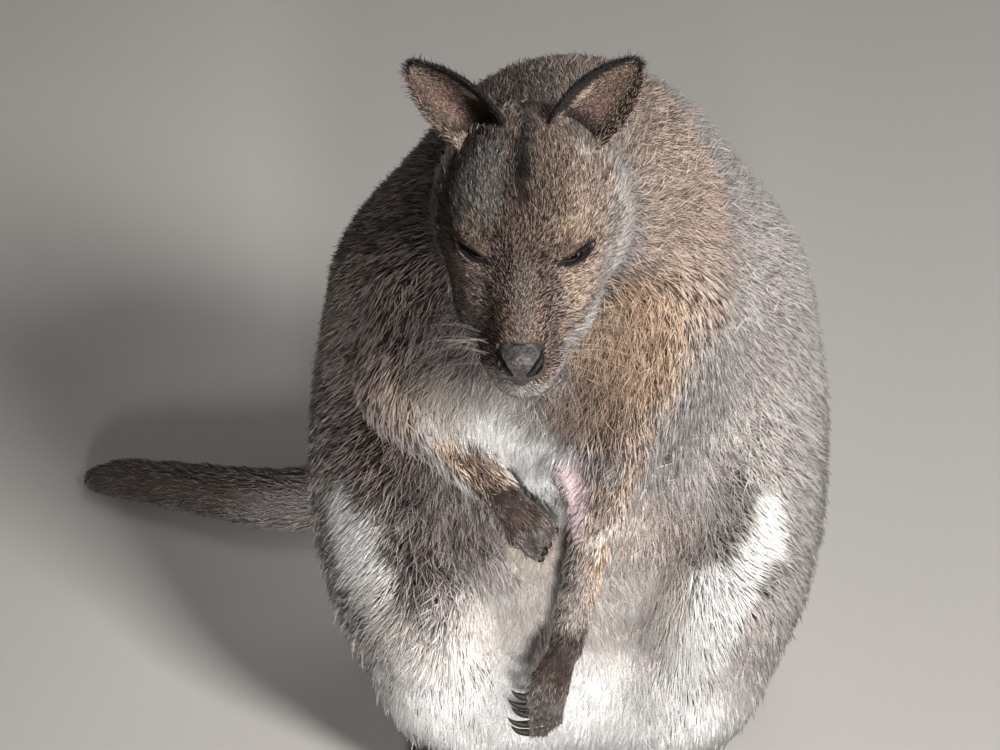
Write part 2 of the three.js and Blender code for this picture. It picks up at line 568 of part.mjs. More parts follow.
const wallaby = new THREE.Group();
const box = new THREE.Box3();
for (const [name, piece] of pieces) {
  const { numProp, vertProperties, triVerts } = piece.getMesh();
  const geometry = new THREE.BufferGeometry();
  const points = new Float32Array((vertProperties.length / numProp) * 3);
  for (let i = 0; i < points.length; i++) points[i] = vertProperties[Math.floor(i / 3) * numProp + (i % 3)];
  geometry.setAttribute("position", new THREE.BufferAttribute(points, 3));
  geometry.setIndex(new THREE.BufferAttribute(triVerts, 1));
  geometry.computeBoundingBox();
  box.union(geometry.boundingBox);
  const mesh = new THREE.Mesh(geometry, new THREE.MeshStandardMaterial(lookOf(name)));
  mesh.name = name;
  wallaby.add(mesh);
}
// The origin is under the middle of the whole, on the floor.
for (const mesh of wallaby.children)
  mesh.geometry.translate(-(box.min.x + box.max.x) / 2, -(box.min.y + box.max.y) / 2, -box.min.z);

export default wallaby;
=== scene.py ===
import bpy
import numpy as np
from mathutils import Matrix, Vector


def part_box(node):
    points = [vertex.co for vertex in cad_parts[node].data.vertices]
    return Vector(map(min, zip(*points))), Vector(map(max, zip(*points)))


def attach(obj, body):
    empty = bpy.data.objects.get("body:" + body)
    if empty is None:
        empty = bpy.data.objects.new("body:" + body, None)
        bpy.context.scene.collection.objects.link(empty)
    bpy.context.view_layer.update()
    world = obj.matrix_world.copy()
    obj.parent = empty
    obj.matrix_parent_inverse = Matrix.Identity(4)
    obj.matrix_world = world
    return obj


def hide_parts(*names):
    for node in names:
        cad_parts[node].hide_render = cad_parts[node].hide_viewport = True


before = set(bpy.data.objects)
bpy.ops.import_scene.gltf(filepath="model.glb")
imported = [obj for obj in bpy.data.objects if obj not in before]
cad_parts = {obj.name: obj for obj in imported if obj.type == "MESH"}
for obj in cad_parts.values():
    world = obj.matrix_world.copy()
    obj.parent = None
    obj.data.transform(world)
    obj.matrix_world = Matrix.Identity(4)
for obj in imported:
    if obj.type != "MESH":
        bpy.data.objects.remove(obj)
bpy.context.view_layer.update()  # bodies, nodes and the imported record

# A red-necked wallaby at rest, life size. Shapes are worked out in millimetres in the animal's own
# frame: +x its left, -y the way it faces, z up from the floor. toFrame moves them onto the model.
mm = 0.001
chance = np.random.default_rng(41)


def unit(v):
    # each vector over its own length
    return v / np.maximum(np.linalg.norm(v, axis=-1, keepdims=True), 1e-9)


def ease(a, b, x):
    # 0 below a, 1 above b, and a smooth step between them
    t = np.clip((x - a) / (b - a), 0, 1)
    return t * t * (3 - 2 * t)


def tone(r, g, b):
    # a colour named in screen values from 0 to 255, as linear light
    return (np.array([r, g, b]) / 255) ** 2.2


# where the head sits on the body, and how far it is bowed and turned, in degrees
head = {"at": (-28, -154, 449), "pitch": 38, "yaw": -4}


def turnAbout(axis, degrees):
    # a turn about x or z: the other two axes mixed by the cosine and the sine of the angle
    c, s = np.cos(np.radians(degrees)), np.sin(np.radians(degrees))
    if axis == "x":
        return np.array([[1, 0, 0], [0, c, -s], [0, s, c]])
    return np.array([[c, -s, 0], [s, c, 0], [0, 0, 1]])


headTurn = turnAbout("z", head["yaw"]) @ turnAbout("x", head["pitch"])


def toHead(p):
    # a point of the body in the head's frame: less the head's place, then turned back
    return (p - np.array(head["at"])) @ headTurn


def fromHead(q):
    # a point of the head's frame on the body: turned, then the head's place added
    return np.asarray(q, float) @ headTurn.T + np.array(head["at"])


def toLeft(q):
    # a point of the head's frame moved on to its left side: x without its sign
    return np.column_stack([np.abs(q[:, 0]), q[:, 1:]])


# The left eye, in the head's frame. creases: how deep each is, where it runs above or below the slit,
# how it bows, its width, and the places along the slit between which it fades away.
eye = {
    "at": (24.5, -31, 18.5), "radius": 9.8, "out": (0.58, -0.42, 0.7), "along": (19.5, 13.9, -2.7),
    "slitWidth": 21, "slitHeight": 4.2, "lid": 11.7, "behindLid": 2.5, "turns": 48, "rings": 40,
    "cornea": 0.05, "pupil": 0.34, "iris": 0.86,
    "creases": [(0.7, 6.2, 0.02, 0.9, (8, 13)), (0.45, -5.4, -0.02, 0.8, (7, 11))],
}
eyeCorners = np.array([list(corner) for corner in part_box("eye_left")])
frameShift = eyeCorners.mean(0) / mm - fromHead(eye["at"])


def toFrame(p):
    # millimetres on the animal to metres in the model: the shift added, times mm
    return (np.asarray(p) + frameShift) * mm


# ball: spheroid by its middle and half-sizes, tilt about X in degrees. rod: round bar by its ends
# and end radii. melt: how far it runs into its neighbours. coat: depth of the fur over the skin.
# lie: the way the hair points. twin repeats a mass on the other side. Sizes are out to the coat.
down, hanging = (0, 0.45, -0.9), (0, 0, -1)
bodyMasses = [
    {"ball": (0, 60, 150), "size": (134, 106, 122), "melt": 60, "coat": 13, "lie": down, "part": "trunk"},
    {"ball": (3, 36, 225), "size": (153, 122, 122), "melt": 60, "coat": 12, "lie": down, "part": "trunk"},
    {"ball": (0, 18, 302), "size": (158, 116, 120), "melt": 60, "coat": 12, "lie": down, "part": "trunk"},
    {"ball": (2, -2, 384), "size": (96, 84, 84), "melt": 50, "coat": 10,
     "lie": (0, 0.8, -0.6), "part": "neck"},
    {"ball": (-6, -84, 322), "size": (90, 70, 80), "melt": 50, "coat": 10,
     "lie": (-0.15, 0.1, -1), "part": "trunk"},
    {"ball": (-50, -104, 300), "size": (60, 42, 40), "melt": 30, "coat": 13,
     "lie": (-0.55, -0.1, -0.85), "part": "trunk"},
    {"ball": (-20, -126, 262), "size": (22, 24, 26), "melt": 20, "coat": 11,
     "lie": (0.1, 0, -1), "part": "trunk"},
    {"ball": (0, -48, 180), "size": (110, 86, 116), "melt": 50, "coat": 12, "lie": hanging, "part": "trunk"},
    {"ball": (-6, -80, 74), "size": (110, 70, 60), "melt": 50, "coat": 15, "lie": hanging, "part": "trunk"},
    {"ball": (112, -4, 172), "size": (60, 116, 106), "tilt": 12, "melt": 44, "coat": 13,
     "lie": (0.3, 0.2, -1), "part": "thigh", "twin": True},
    {"ball": (94, -92, 138), "size": (46, 54, 60), "melt": 40, "coat": 12,
     "lie": (0.3, 0, -1), "part": "thigh", "twin": True},
    {"ball": (70, -96, 68), "size": (50, 46, 46), "melt": 40, "coat": 15,
     "lie": (-0.15, -0.1, -1), "part": "thigh"},
    {"ball": (-60, -96, 68), "size": (50, 46, 46), "melt": 40, "coat": 15,
     "lie": (0.15, -0.1, -1), "part": "thigh"},
    {"ball": (104, 30, 62), "size": (54, 76, 52), "melt": 40, "coat": 11, "lie": hanging, "part": "thigh"},
    {"ball": (-86, 30, 62), "size": (54, 76, 52), "melt": 40, "coat": 11, "lie": hanging, "part": "thigh"},
    {"rod": ((84, -80, 96), (78, -36, 46)), "radii": (36, 30), "melt": 30, "coat": 8,
     "lie": (0, -0.3, -1), "part": "thigh", "twin": True},
    {"rod": ((0, 96, 88), (12, 190, 38)), "radii": (62, 36), "melt": 44, "coat": 9,
     "lie": (0, 0.9, -0.4), "part": "tail"},
    {"rod": ((-2, -34, 398), (-24, -106, 434)), "radii": (84, 60), "melt": 44, "coat": 8,
     "lie": (0, 0.8, -0.6), "part": "neck"},
    {"rod": ((46, -88, 340), (25, -140, 292)), "radii": (42, 26), "melt": 34, "coat": 8,
     "lie": (-0.4, -0.5, -0.8), "part": "arm"},
    {"rod": ((-86, -66, 350), (-104, -90, 304)), "radii": (44, 32), "melt": 30, "coat": 8,
     "lie": (-0.2, -0.4, -0.9), "part": "arm"},
]
headMasses = [
    {"ball": (0, 18, 6), "size": (45, 50, 40), "melt": 20, "coat": 4},
    {"ball": (0, -14, 14), "size": (36, 40, 25), "melt": 20, "coat": 3},
    {"ball": (26, 2, -10), "size": (29, 42, 34), "melt": 20, "coat": 5, "twin": True},
    {"ball": (31, -22, 15), "size": (13, 20, 10), "tilt": -20, "melt": 10, "coat": 2.4, "twin": True},
    {"ball": (24, -34, -6), "size": (18, 26, 20), "melt": 14, "coat": 3, "twin": True},
    {"rod": ((0, -24, -2), (0, -76, -10)), "radii": (32, 20), "melt": 16, "coat": 2.2},
    {"rod": ((0, -20, 20), (0, -84, 2)), "radii": (15, 11), "melt": 12, "coat": 1.8},
    {"ball": (11, -80, -15), "size": (15, 17, 13), "melt": 8, "coat": 2, "twin": True},
    {"rod": ((0, -12, -28), (0, -74, -27)), "radii": (24, 12), "melt": 12, "coat": 3.4},
    {"ball": (22, -42, -24), "size": (21, 30, 16), "melt": 14, "coat": 4.5, "twin": True},
    {"ball": (0, -91, -25), "size": (18, 14, 12), "melt": 8, "coat": 3.2},
]
# x, y, z and radius along each length
tailPath = [(9, 160, 56, 41), (10, 205, 38, 37), (0, 250, 31, 34), (-45, 275, 28.5, 31.5),
            (-105, 252, 27, 29), (-155, 222, 25, 27), (-205, 214, 22.5, 24.5), (-260, 232, 19, 21),
            (-325, 256, 15, 16.5), (-351, 266, 9, 10)]
forearmPaths = [
    [(24, -148, 284, 21), (20, -161, 262, 18), (11, -172, 232, 15), (3.5, -176, 196, 13.5),
     (-3, -176, 158, 11.5)],
    [(-96, -100, 302, 25), (-76, -126, 288, 21), (-56, -151, 271, 15.5), (-40, -166, 258, 11)],
]


def curveThrough(path, count):
    # a Catmull-Rom curve through the rows of path, in count even steps of its parameter
    path = np.asarray(path, float)
    held = np.vstack([2 * path[0] - path[1], path, 2 * path[-1] - path[-2]])
    t = np.linspace(0, len(path) - 1 - 1e-9, count)
    i = t.astype(int)
    f = (t - i)[:, None]
    a, b, c, d = (held[i + n] for n in range(4))
    return 0.5 * (2 * b + (c - a) * f + (2 * a - 5 * b + 4 * c - d) * f**2 + (3 * b - a - 3 * c + d) * f**3)


def rodsAlong(path, part, coats, count):
    # a chain of rods through a path, its coat going from one depth to the other
    points = curveThrough(path, count)
    coat = np.linspace(coats[0], coats[1], count)
    return [{"rod": (a[:3], b[:3]), "radii": (a[3], b[3]), "melt": 3, "coat": c, "lie": b[:3] - a[:3],
             "part": part} for a, b, c in zip(points[:-1], points[1:], coat)]


def withTwins(masses):
    # each mass with its side, and once more for the other side if it has a twin
    both = []
    for mass in masses:
        both.append({"side": 1, **mass})
        if mass.get("twin"):
            both.append({**mass, "side": -1})
    return both


bodyMasses = withTwins(bodyMasses)
headMasses = withTwins(headMasses)
leftForearm = withTwins(rodsAlong(forearmPaths[0], "arm", (7, 2.5), 9))
rightForearm = withTwins(rodsAlong(forearmPaths[1], "arm", (10, 2.5), 9))
armpit = withTwins([{"rod": ((-4, -149, 278), (4, -164, 240)), "radii": (8, 4), "melt": 8, "coat": 1.5,
                     "lie": hanging, "part": "arm"}])
limbs = [  # each with how far it melts into the body
    (withTwins(rodsAlong(tailPath, "tail", (7, 3.5), 24)), 10), (leftForearm[:3], 20), (leftForearm[3:], 6),
    (rightForearm[:4], 30), (rightForearm[4:], 8), (armpit, 14),
]
limbMasses = [mass for chain, _ in limbs for mass in chain]


def distanceTo(p, mass):
    # spheroid: n (n - 1) / s, where n is the length of p over the half-sizes and s that of p over
    # their squares. rod: distance to the axis less the radius there.
    q = p if mass["side"] > 0 else p * (-1, 1, 1)
    if "ball" in mass:
        q = q - np.array(mass["ball"], float)
        if mass.get("tilt"):
            q = q @ turnAbout("x", mass["tilt"])
        size = np.array(mass["size"], float)
        near = np.sqrt(((q / size) ** 2).sum(-1))
        return near * (near - 1) / np.maximum(np.sqrt(((q / size**2) ** 2).sum(-1)), 1e-6)
    a, b = (np.array(end, float) for end in mass["rod"])
    axis = b - a
    t = np.clip((q - a) @ axis / (axis @ axis), 0, 1)
    off = q - a - t[:, None] * axis
    return np.sqrt((off**2).sum(-1)) - (mass["radii"][0] + t * (mass["radii"][1] - mass["radii"][0]))


def meltInto(a, b, reach):
    # the lower of the two, less reach / 4 of the squared share by which they are within reach
    near = np.maximum(reach - np.abs(a - b), 0) / reach
    return np.minimum(a, b) - near * near * reach / 4


def union(p, masses, bare):
    # bare is 1 for the skin under the coat and 0 for the coat's own surface
    total = np.full(len(p), 1e4)
    for mass in masses:
        total = meltInto(total, distanceTo(p, mass) + bare * mass["coat"], mass["melt"])
    return total


def fleshField(p, bare):
    # the body and head melted together, then each limb by its own melt, less what is under the floor
    whole = meltInto(union(p, bodyMasses, bare), union(toHead(p), headMasses, bare), 26)
    for chain, melt in limbs:
        whole = meltInto(whole, union(p, chain, bare), melt)
    return np.maximum(whole, 1.5 * bare - p[:, 2])


def skinField(p):
    # the flesh less the coat's depth
    return fleshField(p, 1)


def coatField(p):
    # the flesh out to the tips of the coat
    return fleshField(p, 0)


def halved(quads):
    # each square as two triangles, 0 1 2 and 0 2 3
    return np.vstack([quads[:, [0, 1, 2]], quads[:, [0, 2, 3]]])


def netSurface(field, low, high, cell):
    # surface nets: a point in each cell the field changes sign in, at the mean of its edge
    # crossings, and a square round each grid edge that is crossed
    axes = [np.arange(a, b + cell, cell) for a, b in zip(low, high)]
    shape = tuple(len(axis) for axis in axes)
    grid = np.stack(np.meshgrid(*axes, indexing="ij"), -1).reshape(-1, 3)
    value = np.concatenate([field(part) for part in np.array_split(grid, max(len(grid) // 200000, 1))])
    value = value.reshape(shape)
    for n in range(3):
        wall = [slice(None)] * 3
        for end in (0, -1):
            wall[n] = end
            value[tuple(wall)] = np.maximum(value[tuple(wall)], cell / 2)
    inside = value < 0
    corners = [(i, j, k) for i in (0, 1) for j in (0, 1) for k in (0, 1)]
    cut = [slice(0, n - 1) for n in shape], [slice(1, n) for n in shape]
    held = sum(inside[tuple(cut[c[n]][n] for n in range(3))].astype(np.int8) for c in corners)
    cells = np.argwhere((held > 0) & (held < 8))
    total, crossings = np.zeros((len(cells), 3)), np.zeros(len(cells))
    for c in corners:
        for n in range(3):
            if c[n]:
                continue
            d = np.array(c)
            d[n] = 1
            va = value[tuple((cells + c).T)]
            vb = value[tuple((cells + d).T)]
            crossed = (va < 0) != (vb < 0)
            t = np.where(crossed, va / np.where(crossed, va - vb, 1), 0)
            at = np.repeat(np.array([c], float), len(cells), 0)
            at[:, n] = t
            total += at * crossed[:, None]
            crossings += crossed
    points = (cells + total / crossings[:, None]) * cell + np.array([axis[0] for axis in axes])
    number = np.full(shape, -1)
    number[tuple(cells.T)] = np.arange(len(cells))
    quads = []
    for n in range(3):
        ahead = [slice(None)] * 3
        ahead[n] = slice(1, None)
        behind = [slice(None)] * 3
        behind[n] = slice(0, -1)
        first = inside[tuple(behind)]
        edges = np.argwhere(first != inside[tuple(ahead)])
        u, w = np.eye(3, dtype=int)[(n + 1) % 3], np.eye(3, dtype=int)[(n + 2) % 3]
        steps = ((0, 0), (1, 0), (1, 1), (0, 1))
        ring = np.stack([number[tuple((edges - a * u - b * w).T)] for a, b in steps], 1)
        outward = first[tuple(edges.T)]
        quads.append(np.where(outward[:, None], ring, ring[:, ::-1]))
    return points, halved(np.vstack(quads))


def slopeOf(field, p, step=0.4):
    # the field, and its slope each way: how much it grows over a step along x, y and z
    value = field(p)
    ways = np.eye(3) * step
    return value, np.stack([(field(p + way) - value) / step for way in ways], -1)


def settle(p, field, most, passes=2):
    # moves points along the slope onto the field's own surface, by at most most in a pass
    for _ in range(passes):
        value, slope = slopeOf(field, p)
        move = np.clip(value / np.maximum((slope**2).sum(-1), 1e-4), -most, most)
        p = p - move[:, None] * slope
    return p


def edgesOf(faces):
    # each edge once, and for every triangle the numbers of its edges ab, bc and ca
    pairs = np.sort(np.vstack([faces[:, [0, 1]], faces[:, [1, 2]], faces[:, [2, 0]]]), 1)
    code = pairs[:, 0].astype(np.int64) * (faces.max() + 1) + pairs[:, 1]
    _, first, back = np.unique(code, return_index=True, return_inverse=True)
    return pairs[first], back.reshape(3, -1).T


splits = {  # the triangles left of (a b c, ab bc ca) for each set of split edges
    0: [(0, 1, 2)],
    1: [(0, 3, 2), (3, 1, 2)],
    2: [(0, 1, 4), (0, 4, 2)],
    4: [(0, 1, 5), (5, 1, 2)],
    3: [(3, 1, 4), (0, 3, 4), (0, 4, 2)],
    6: [(4, 2, 5), (0, 1, 4), (0, 4, 5)],
    5: [(0, 3, 5), (3, 1, 2), (3, 2, 5)],
    7: [(0, 3, 5), (3, 1, 4), (5, 4, 2), (3, 4, 5)],
}


def splitLong(points, faces, longest):
    # halves every edge that is longer than longest says at its middle
    edges, owner = edgesOf(faces)
    middle = points[edges].mean(1)
    length = np.linalg.norm(points[edges[:, 0]] - points[edges[:, 1]], axis=1)
    long = length > longest(middle)
    number = np.full(len(edges), -1)
    number[long] = len(points) + np.arange(long.sum())
    six = np.hstack([faces, number[owner]])
    code = long[owner] @ np.array([1, 2, 4])
    made = [six[code == c][:, list(corners)] for c, way in splits.items() for corners in way]
    return np.vstack([points, middle[long]]), np.vstack(made)


def smoothed(points, faces, passes, share=0.5):
    # moves each point by a share of the way to the mean of its neighbours
    edges, _ = edgesOf(faces)
    a, b = np.concatenate([edges, edges[:, ::-1]]).T
    count = np.bincount(a, minlength=len(points))[:, None]
    for _ in range(passes):
        mean = np.stack([np.bincount(a, points[b, n], len(points)) for n in range(3)], 1) / count
        points = points + share * (mean - points)
    return points


def normalsOf(points, faces):
    # at each point the sum of its triangles' normals by their areas, made one long
    a, b, c = (points[faces[:, n]] for n in range(3))
    flat = np.cross(b - a, c - a)
    total = np.zeros_like(points)
    for n in range(3):
        for m in range(3):
            total[:, m] += np.bincount(faces[:, n], flat[:, m], len(points))
    return unit(total)


lattice = 32  # cells of noise each way before it repeats


def cloud(p, size, seed):
    # smooth noise from 0 to 1: random values on a lattice of that size, eased between its corners
    table = np.random.default_rng(seed).random((lattice, lattice, lattice))
    q = p / size + 1000
    i = np.floor(q).astype(int)
    f = q - i
    f = f * f * (3 - 2 * f)
    total = 0
    for a in (0, 1):
        for b in (0, 1):
            for c in (0, 1):
                share = (f[:, 0] if a else 1 - f[:, 0]) * (f[:, 1] if b else 1 - f[:, 1])
                share = share * (f[:, 2] if c else 1 - f[:, 2])
                corner = (i + (a, b, c)) % lattice
                total = total + share * table[tuple(corner.T)]
    return total


def sway(p, size, seeds):
    # a push each way from -0.5 to 0.5, by the noise of three seeds
    return np.stack([cloud(p, size, seed) - 0.5 for seed in seeds], -1)


# Soft spots of colour laid over one another: at is the middle, or from and to the ends of a band,
# reach the half-sizes out to where it fades away, and share how much it covers.
coats = {
    "slate": tone(158, 150, 147), "silver": tone(200, 194, 190), "umber": tone(92, 78, 70),
    "rufous": tone(150, 124, 98), "brown": tone(134, 112, 95), "tan": tone(180, 158, 142),
    "buff": tone(214, 186, 160), "orange": tone(228, 188, 152), "cream": tone(246, 231, 217),
    "white": tone(252, 251, 249), "dark": tone(66, 55, 51), "black": tone(26, 21, 21),
    "pink": tone(238, 216, 219), "grey": tone(160, 152, 151), "pale": tone(222, 214, 208),
    "tail": tone(104, 94, 88), "wrist": tone(62, 50, 44), "paw": tone(60, 48, 43),
    "finger": tone(92, 84, 80),
}
# lidRim, lips and sole are the skin's own tones; the last is painted shade under the nose pad and in the
# nostrils
skinTones = {"lidRim": tone(44, 34, 36), "lips": tone(46, 34, 32), "sole": tone(52, 44, 42),
             "shadeUnderNose": tone(14, 12, 12)}
# the noise that bends the spots' edges: its sizes, and how far it moves them on the body and the head
spotEdges = {"warp": 26, "fray": 3.5, "bodyWarp": 16, "bodyFray": 14, "headWarp": 5, "headFray": 4}
bodySpots = [
    {"at": (0, 110, 330), "reach": (190, 120, 230), "coat": "umber", "share": 0.7},
    {"at": (140, -60, 300), "reach": (70, 110, 150), "coat": "silver", "share": 0.5},
    # painted shade on the animal's right flank, the side away from the key lamp, laid as umber and dark over
    # its own grey-brown
    {"at": (-150, -30, 310), "reach": (100, 150, 190), "coat": "umber", "share": 0.9},
    {"at": (-128, -84, 300), "reach": (70, 80, 110), "coat": "dark", "share": 0.6},
    {"at": (-10, -20, 460), "reach": (120, 130, 80), "coat": "brown", "share": 0.8},
    {"at": (72, -90, 405), "reach": (52, 90, 90), "coat": "tan", "share": 0.9},
    # painted shadow of the head on the right of the neck, and painted shade on the right side below the
    # shoulder
    {"at": (-90, -70, 385), "reach": (84, 100, 110), "coat": "dark", "share": 0.85},
    {"at": (-118, -104, 270), "reach": (74, 90, 90), "coat": "dark", "share": 0.6},
    {"at": (36, -140, 350), "reach": (50, 60, 66), "coat": "rufous", "share": 0.9},
    {"at": (10, -156, 318), "reach": (34, 40, 32), "coat": "brown", "share": 0.8},
    {"at": (34, -160, 300), "reach": (30, 34, 20), "coat": "brown", "share": 0.6},
    {"from": (-78, -150, 312), "to": (-112, -128, 306), "reach": 26, "coat": "tan", "share": 0.8},
    {"from": (-40, -156, 308), "to": (-78, -152, 300), "reach": 29, "coat": "pale", "share": 0.95},
    {"from": (-74, -156, 286), "to": (-66, -160, 276), "reach": 15, "coat": "orange", "share": 0.8},
    {"from": (-46, -156, 296), "to": (-16, -150, 276), "reach": 28, "coat": "white", "share": 1.0},
    {"from": (-28, -152, 268), "to": (-12, -143, 232), "reach": 24, "coat": "white", "share": 0.9},
    {"from": (-58, -158, 276), "to": (-42, -168, 268), "reach": 24, "coat": "brown", "share": 0.95},
    {"from": (-48, -162, 260), "to": (-38, -176, 252), "reach": 18, "coat": "dark", "share": 0.9},
    # painted shadow of the right arm on the belly below it
    {"at": (-62, -120, 216), "reach": (50, 54, 40), "coat": "dark", "share": 0.8},
    {"from": (-22, -132, 206), "to": (-22, -134, 136), "reach": 30, "coat": "cream", "share": 1.0},
    {"at": (-18, -130, 212), "reach": (18, 24, 16), "coat": "orange", "share": 0.7},
    {"at": (-46, -138, 132), "reach": (40, 50, 44), "coat": "pale", "share": 0.9},
    # the right thigh's front: partly its own grey, partly painted shade
    {"from": (-100, -130, 214), "to": (-80, -146, 158), "reach": 38, "coat": "dark", "share": 0.85},
    {"at": (48, -128, 190), "reach": (48, 40, 62), "coat": "brown", "share": 0.55},
    {"at": (40, -128, 220), "reach": (22, 30, 30), "coat": "cream", "share": 0.5},
    {"at": (16, -150, 112), "reach": (150, 100, 116), "coat": "pale", "share": 0.85},
    {"at": (0, -150, 52), "reach": (190, 100, 92), "coat": "white", "share": 0.95},
    {"from": (130, -106, 214), "to": (104, -136, 182), "reach": 23, "coat": "white", "share": 1.0},
    {"from": (104, -136, 182), "to": (72, -150, 118), "reach": 25, "coat": "white", "share": 1.0},
    {"from": (-156, -82, 198), "to": (-132, -128, 168), "reach": 27, "coat": "white", "share": 1.0},
    {"from": (-128, -132, 164), "to": (-104, -146, 118), "reach": 24, "coat": "pale", "share": 0.8},
    {"at": (0, 10, 16), "reach": (150, 190, 46), "coat": "pale", "share": 0.6},
    {"at": (150, -40, 110), "reach": (50, 90, 60), "coat": "grey", "share": 0.5},
    {"from": (12, 190, 60), "to": (0, 250, 31), "reach": 60, "coat": "umber", "share": 0.8},
    {"from": (14, -166, 262), "to": (0, -180, 172), "reach": 24, "coat": "tan", "share": 0.95},
    {"from": (12, -168, 250), "to": (4, -182, 190), "reach": 18, "coat": "pale", "share": 0.35},
    {"from": (34, -164, 276), "to": (28, -174, 264), "reach": 15, "coat": "rufous", "share": 0.7},
    {"from": (30, -168, 256), "to": (22, -176, 232), "reach": 12, "coat": "cream", "share": 0.9},
    {"from": (24, -176, 226), "to": (16, -184, 200), "reach": 11, "coat": "orange", "share": 0.45},
    {"from": (-2, -172, 240), "to": (-8, -180, 184), "reach": 12, "coat": "grey", "share": 0.8},
    {"from": (-6, -164, 275), "to": (-5, -172, 244), "reach": 17, "coat": "pink", "share": 1.0},
]
headSpots = [
    {"at": (0, 40, 30), "reach": (50, 44, 40), "coat": "brown", "share": 0.5},
    {"at": (-20, 50, 30), "reach": (18, 22, 20), "coat": "rufous", "share": 0.8},
    {"at": (0, -10, 38), "reach": (34, 54, 24), "coat": "umber", "share": 0.75},
    {"at": (40, 4, 26), "reach": (22, 44, 28), "coat": "tan", "share": 0.85},
    # pale on the right of the forehead: partly the coat's grizzle, partly a painted highlight
    {"at": (-30, 6, 34), "reach": (25, 36, 24), "coat": "pale", "share": 0.7},
    {"at": (31, -20, 33), "reach": (17, 9, 12), "coat": "buff", "share": 0.7},
    {"at": (-34, -18, 31), "reach": (17, 10, 12), "coat": "buff", "share": 0.7},
    {"at": (34, -48, 10), "reach": (24, 29, 22), "coat": "tan", "share": 1.0},
    {"at": (37, -44, 12), "reach": (18, 22, 16), "coat": "buff", "share": 0.6},
    {"at": (-34, -48, 10), "reach": (23, 28, 20), "coat": "tan", "share": 0.95},
    {"at": (56, -22, -6), "reach": (16, 60, 34), "coat": "silver", "share": 0.6},
    # umber on the right cheek where the left has silver: painted shade
    {"at": (-56, -22, -6), "reach": (18, 60, 34), "coat": "umber", "share": 0.4},
    {"from": (24, -82, -20), "to": (46, -44, -22), "reach": 14, "coat": "pale", "share": 0.85},
    {"from": (-24, -82, -20), "to": (-46, -44, -22), "reach": 12, "coat": "silver", "share": 0.5},
    {"from": (12, -38, 28), "to": (19, -84, -6), "reach": 12, "coat": "dark", "share": 0.95, "twin": True},
    {"from": (0, -50, 27), "to": (0, -80, 12), "reach": 9, "coat": "grey", "share": 0.35},
    {"from": (22, -84, -2), "to": (24, -78, -12), "reach": 11, "coat": "dark", "share": 0.6, "twin": True},
    {"at": (0, -101, -22), "reach": (26, 16, 9), "coat": "pale", "share": 0.8},
    {"at": (0, -60, -44), "reach": (28, 60, 18), "coat": "white", "share": 0.8},
    {"from": (-2, 0, 46), "to": (-2, 34, 46), "reach": 14, "coat": "dark", "share": 0.55},
    {"from": (-2, -14, 44), "to": (-2, 14, 46), "reach": 5, "coat": "black", "share": 0.7},
    {"from": (-2, 10, 46), "to": (-2, 34, 46), "reach": 6.5, "coat": "black", "share": 0.9},
    {"from": (-2, 34, 46), "to": (-2, 66, 24), "reach": 7.5, "coat": "black", "share": 0.9},
    {"at": (35, 31, 31), "reach": (9, 10, 11), "coat": "cream", "share": 0.7},
    {"at": (-38, 30, 28), "reach": (9, 10, 11), "coat": "cream", "share": 0.5},
]


def spotShare(p, spot):
    # 1 in the middle of the spot, easing to 0 at its reach
    if "from" in spot:
        a, b = np.array(spot["from"], float), np.array(spot["to"], float)
        t = np.clip((p - a) @ (b - a) / ((b - a) @ (b - a)), 0, 1)[:, None]
        far = np.linalg.norm(p - a - t * (b - a), axis=1) / spot["reach"]
    else:
        far = np.linalg.norm((p - np.array(spot["at"], float)) / np.array(spot["reach"], float), axis=1)
    return (1 - ease(0.5, 1.0, far)) * spot["share"]


def tinted(colour, other, share):
    # the colour moved towards the other by a share of the way
    return colour + (other - colour) * share[:, None]


def plain(colour, count):
    # the same colour for so many points
    return np.repeat(colour[None], count, 0)


def laid(colour, p, spots):
    # each spot in turn tinted over what lies under it
    for spot in spots:
        sides = (1, -1) if spot.get("twin") else (1,)
        for side in sides:
            colour = tinted(colour, coats[spot["coat"]], spotShare(p * (side, 1, 1), spot))
    return colour


def eyeFrame():
    # the eye's own axes: along the slit, square to the way it looks, then up across it, and outwards
    out = unit(np.array(eye["out"], float))
    along = np.array(eye["along"], float)
    along = unit(along - out * (along @ out))
    return along, np.cross(out, along), out


def eyePlaces(q):
    # for points in the head's frame, taken to its left side: places along the slit, across it
    # towards the crown, and outwards from the eye's middle
    local = toLeft(q) - np.array(eye["at"])
    along, up, out = eyeFrame()
    return local @ along, local @ up, local @ out


def slitHalf(a):
    # half of the opening at a place along it, with pointed corners
    return eye["slitHeight"] / 2 * np.sqrt(np.maximum(1 - (2 * a / eye["slitWidth"]) ** 2, 0))


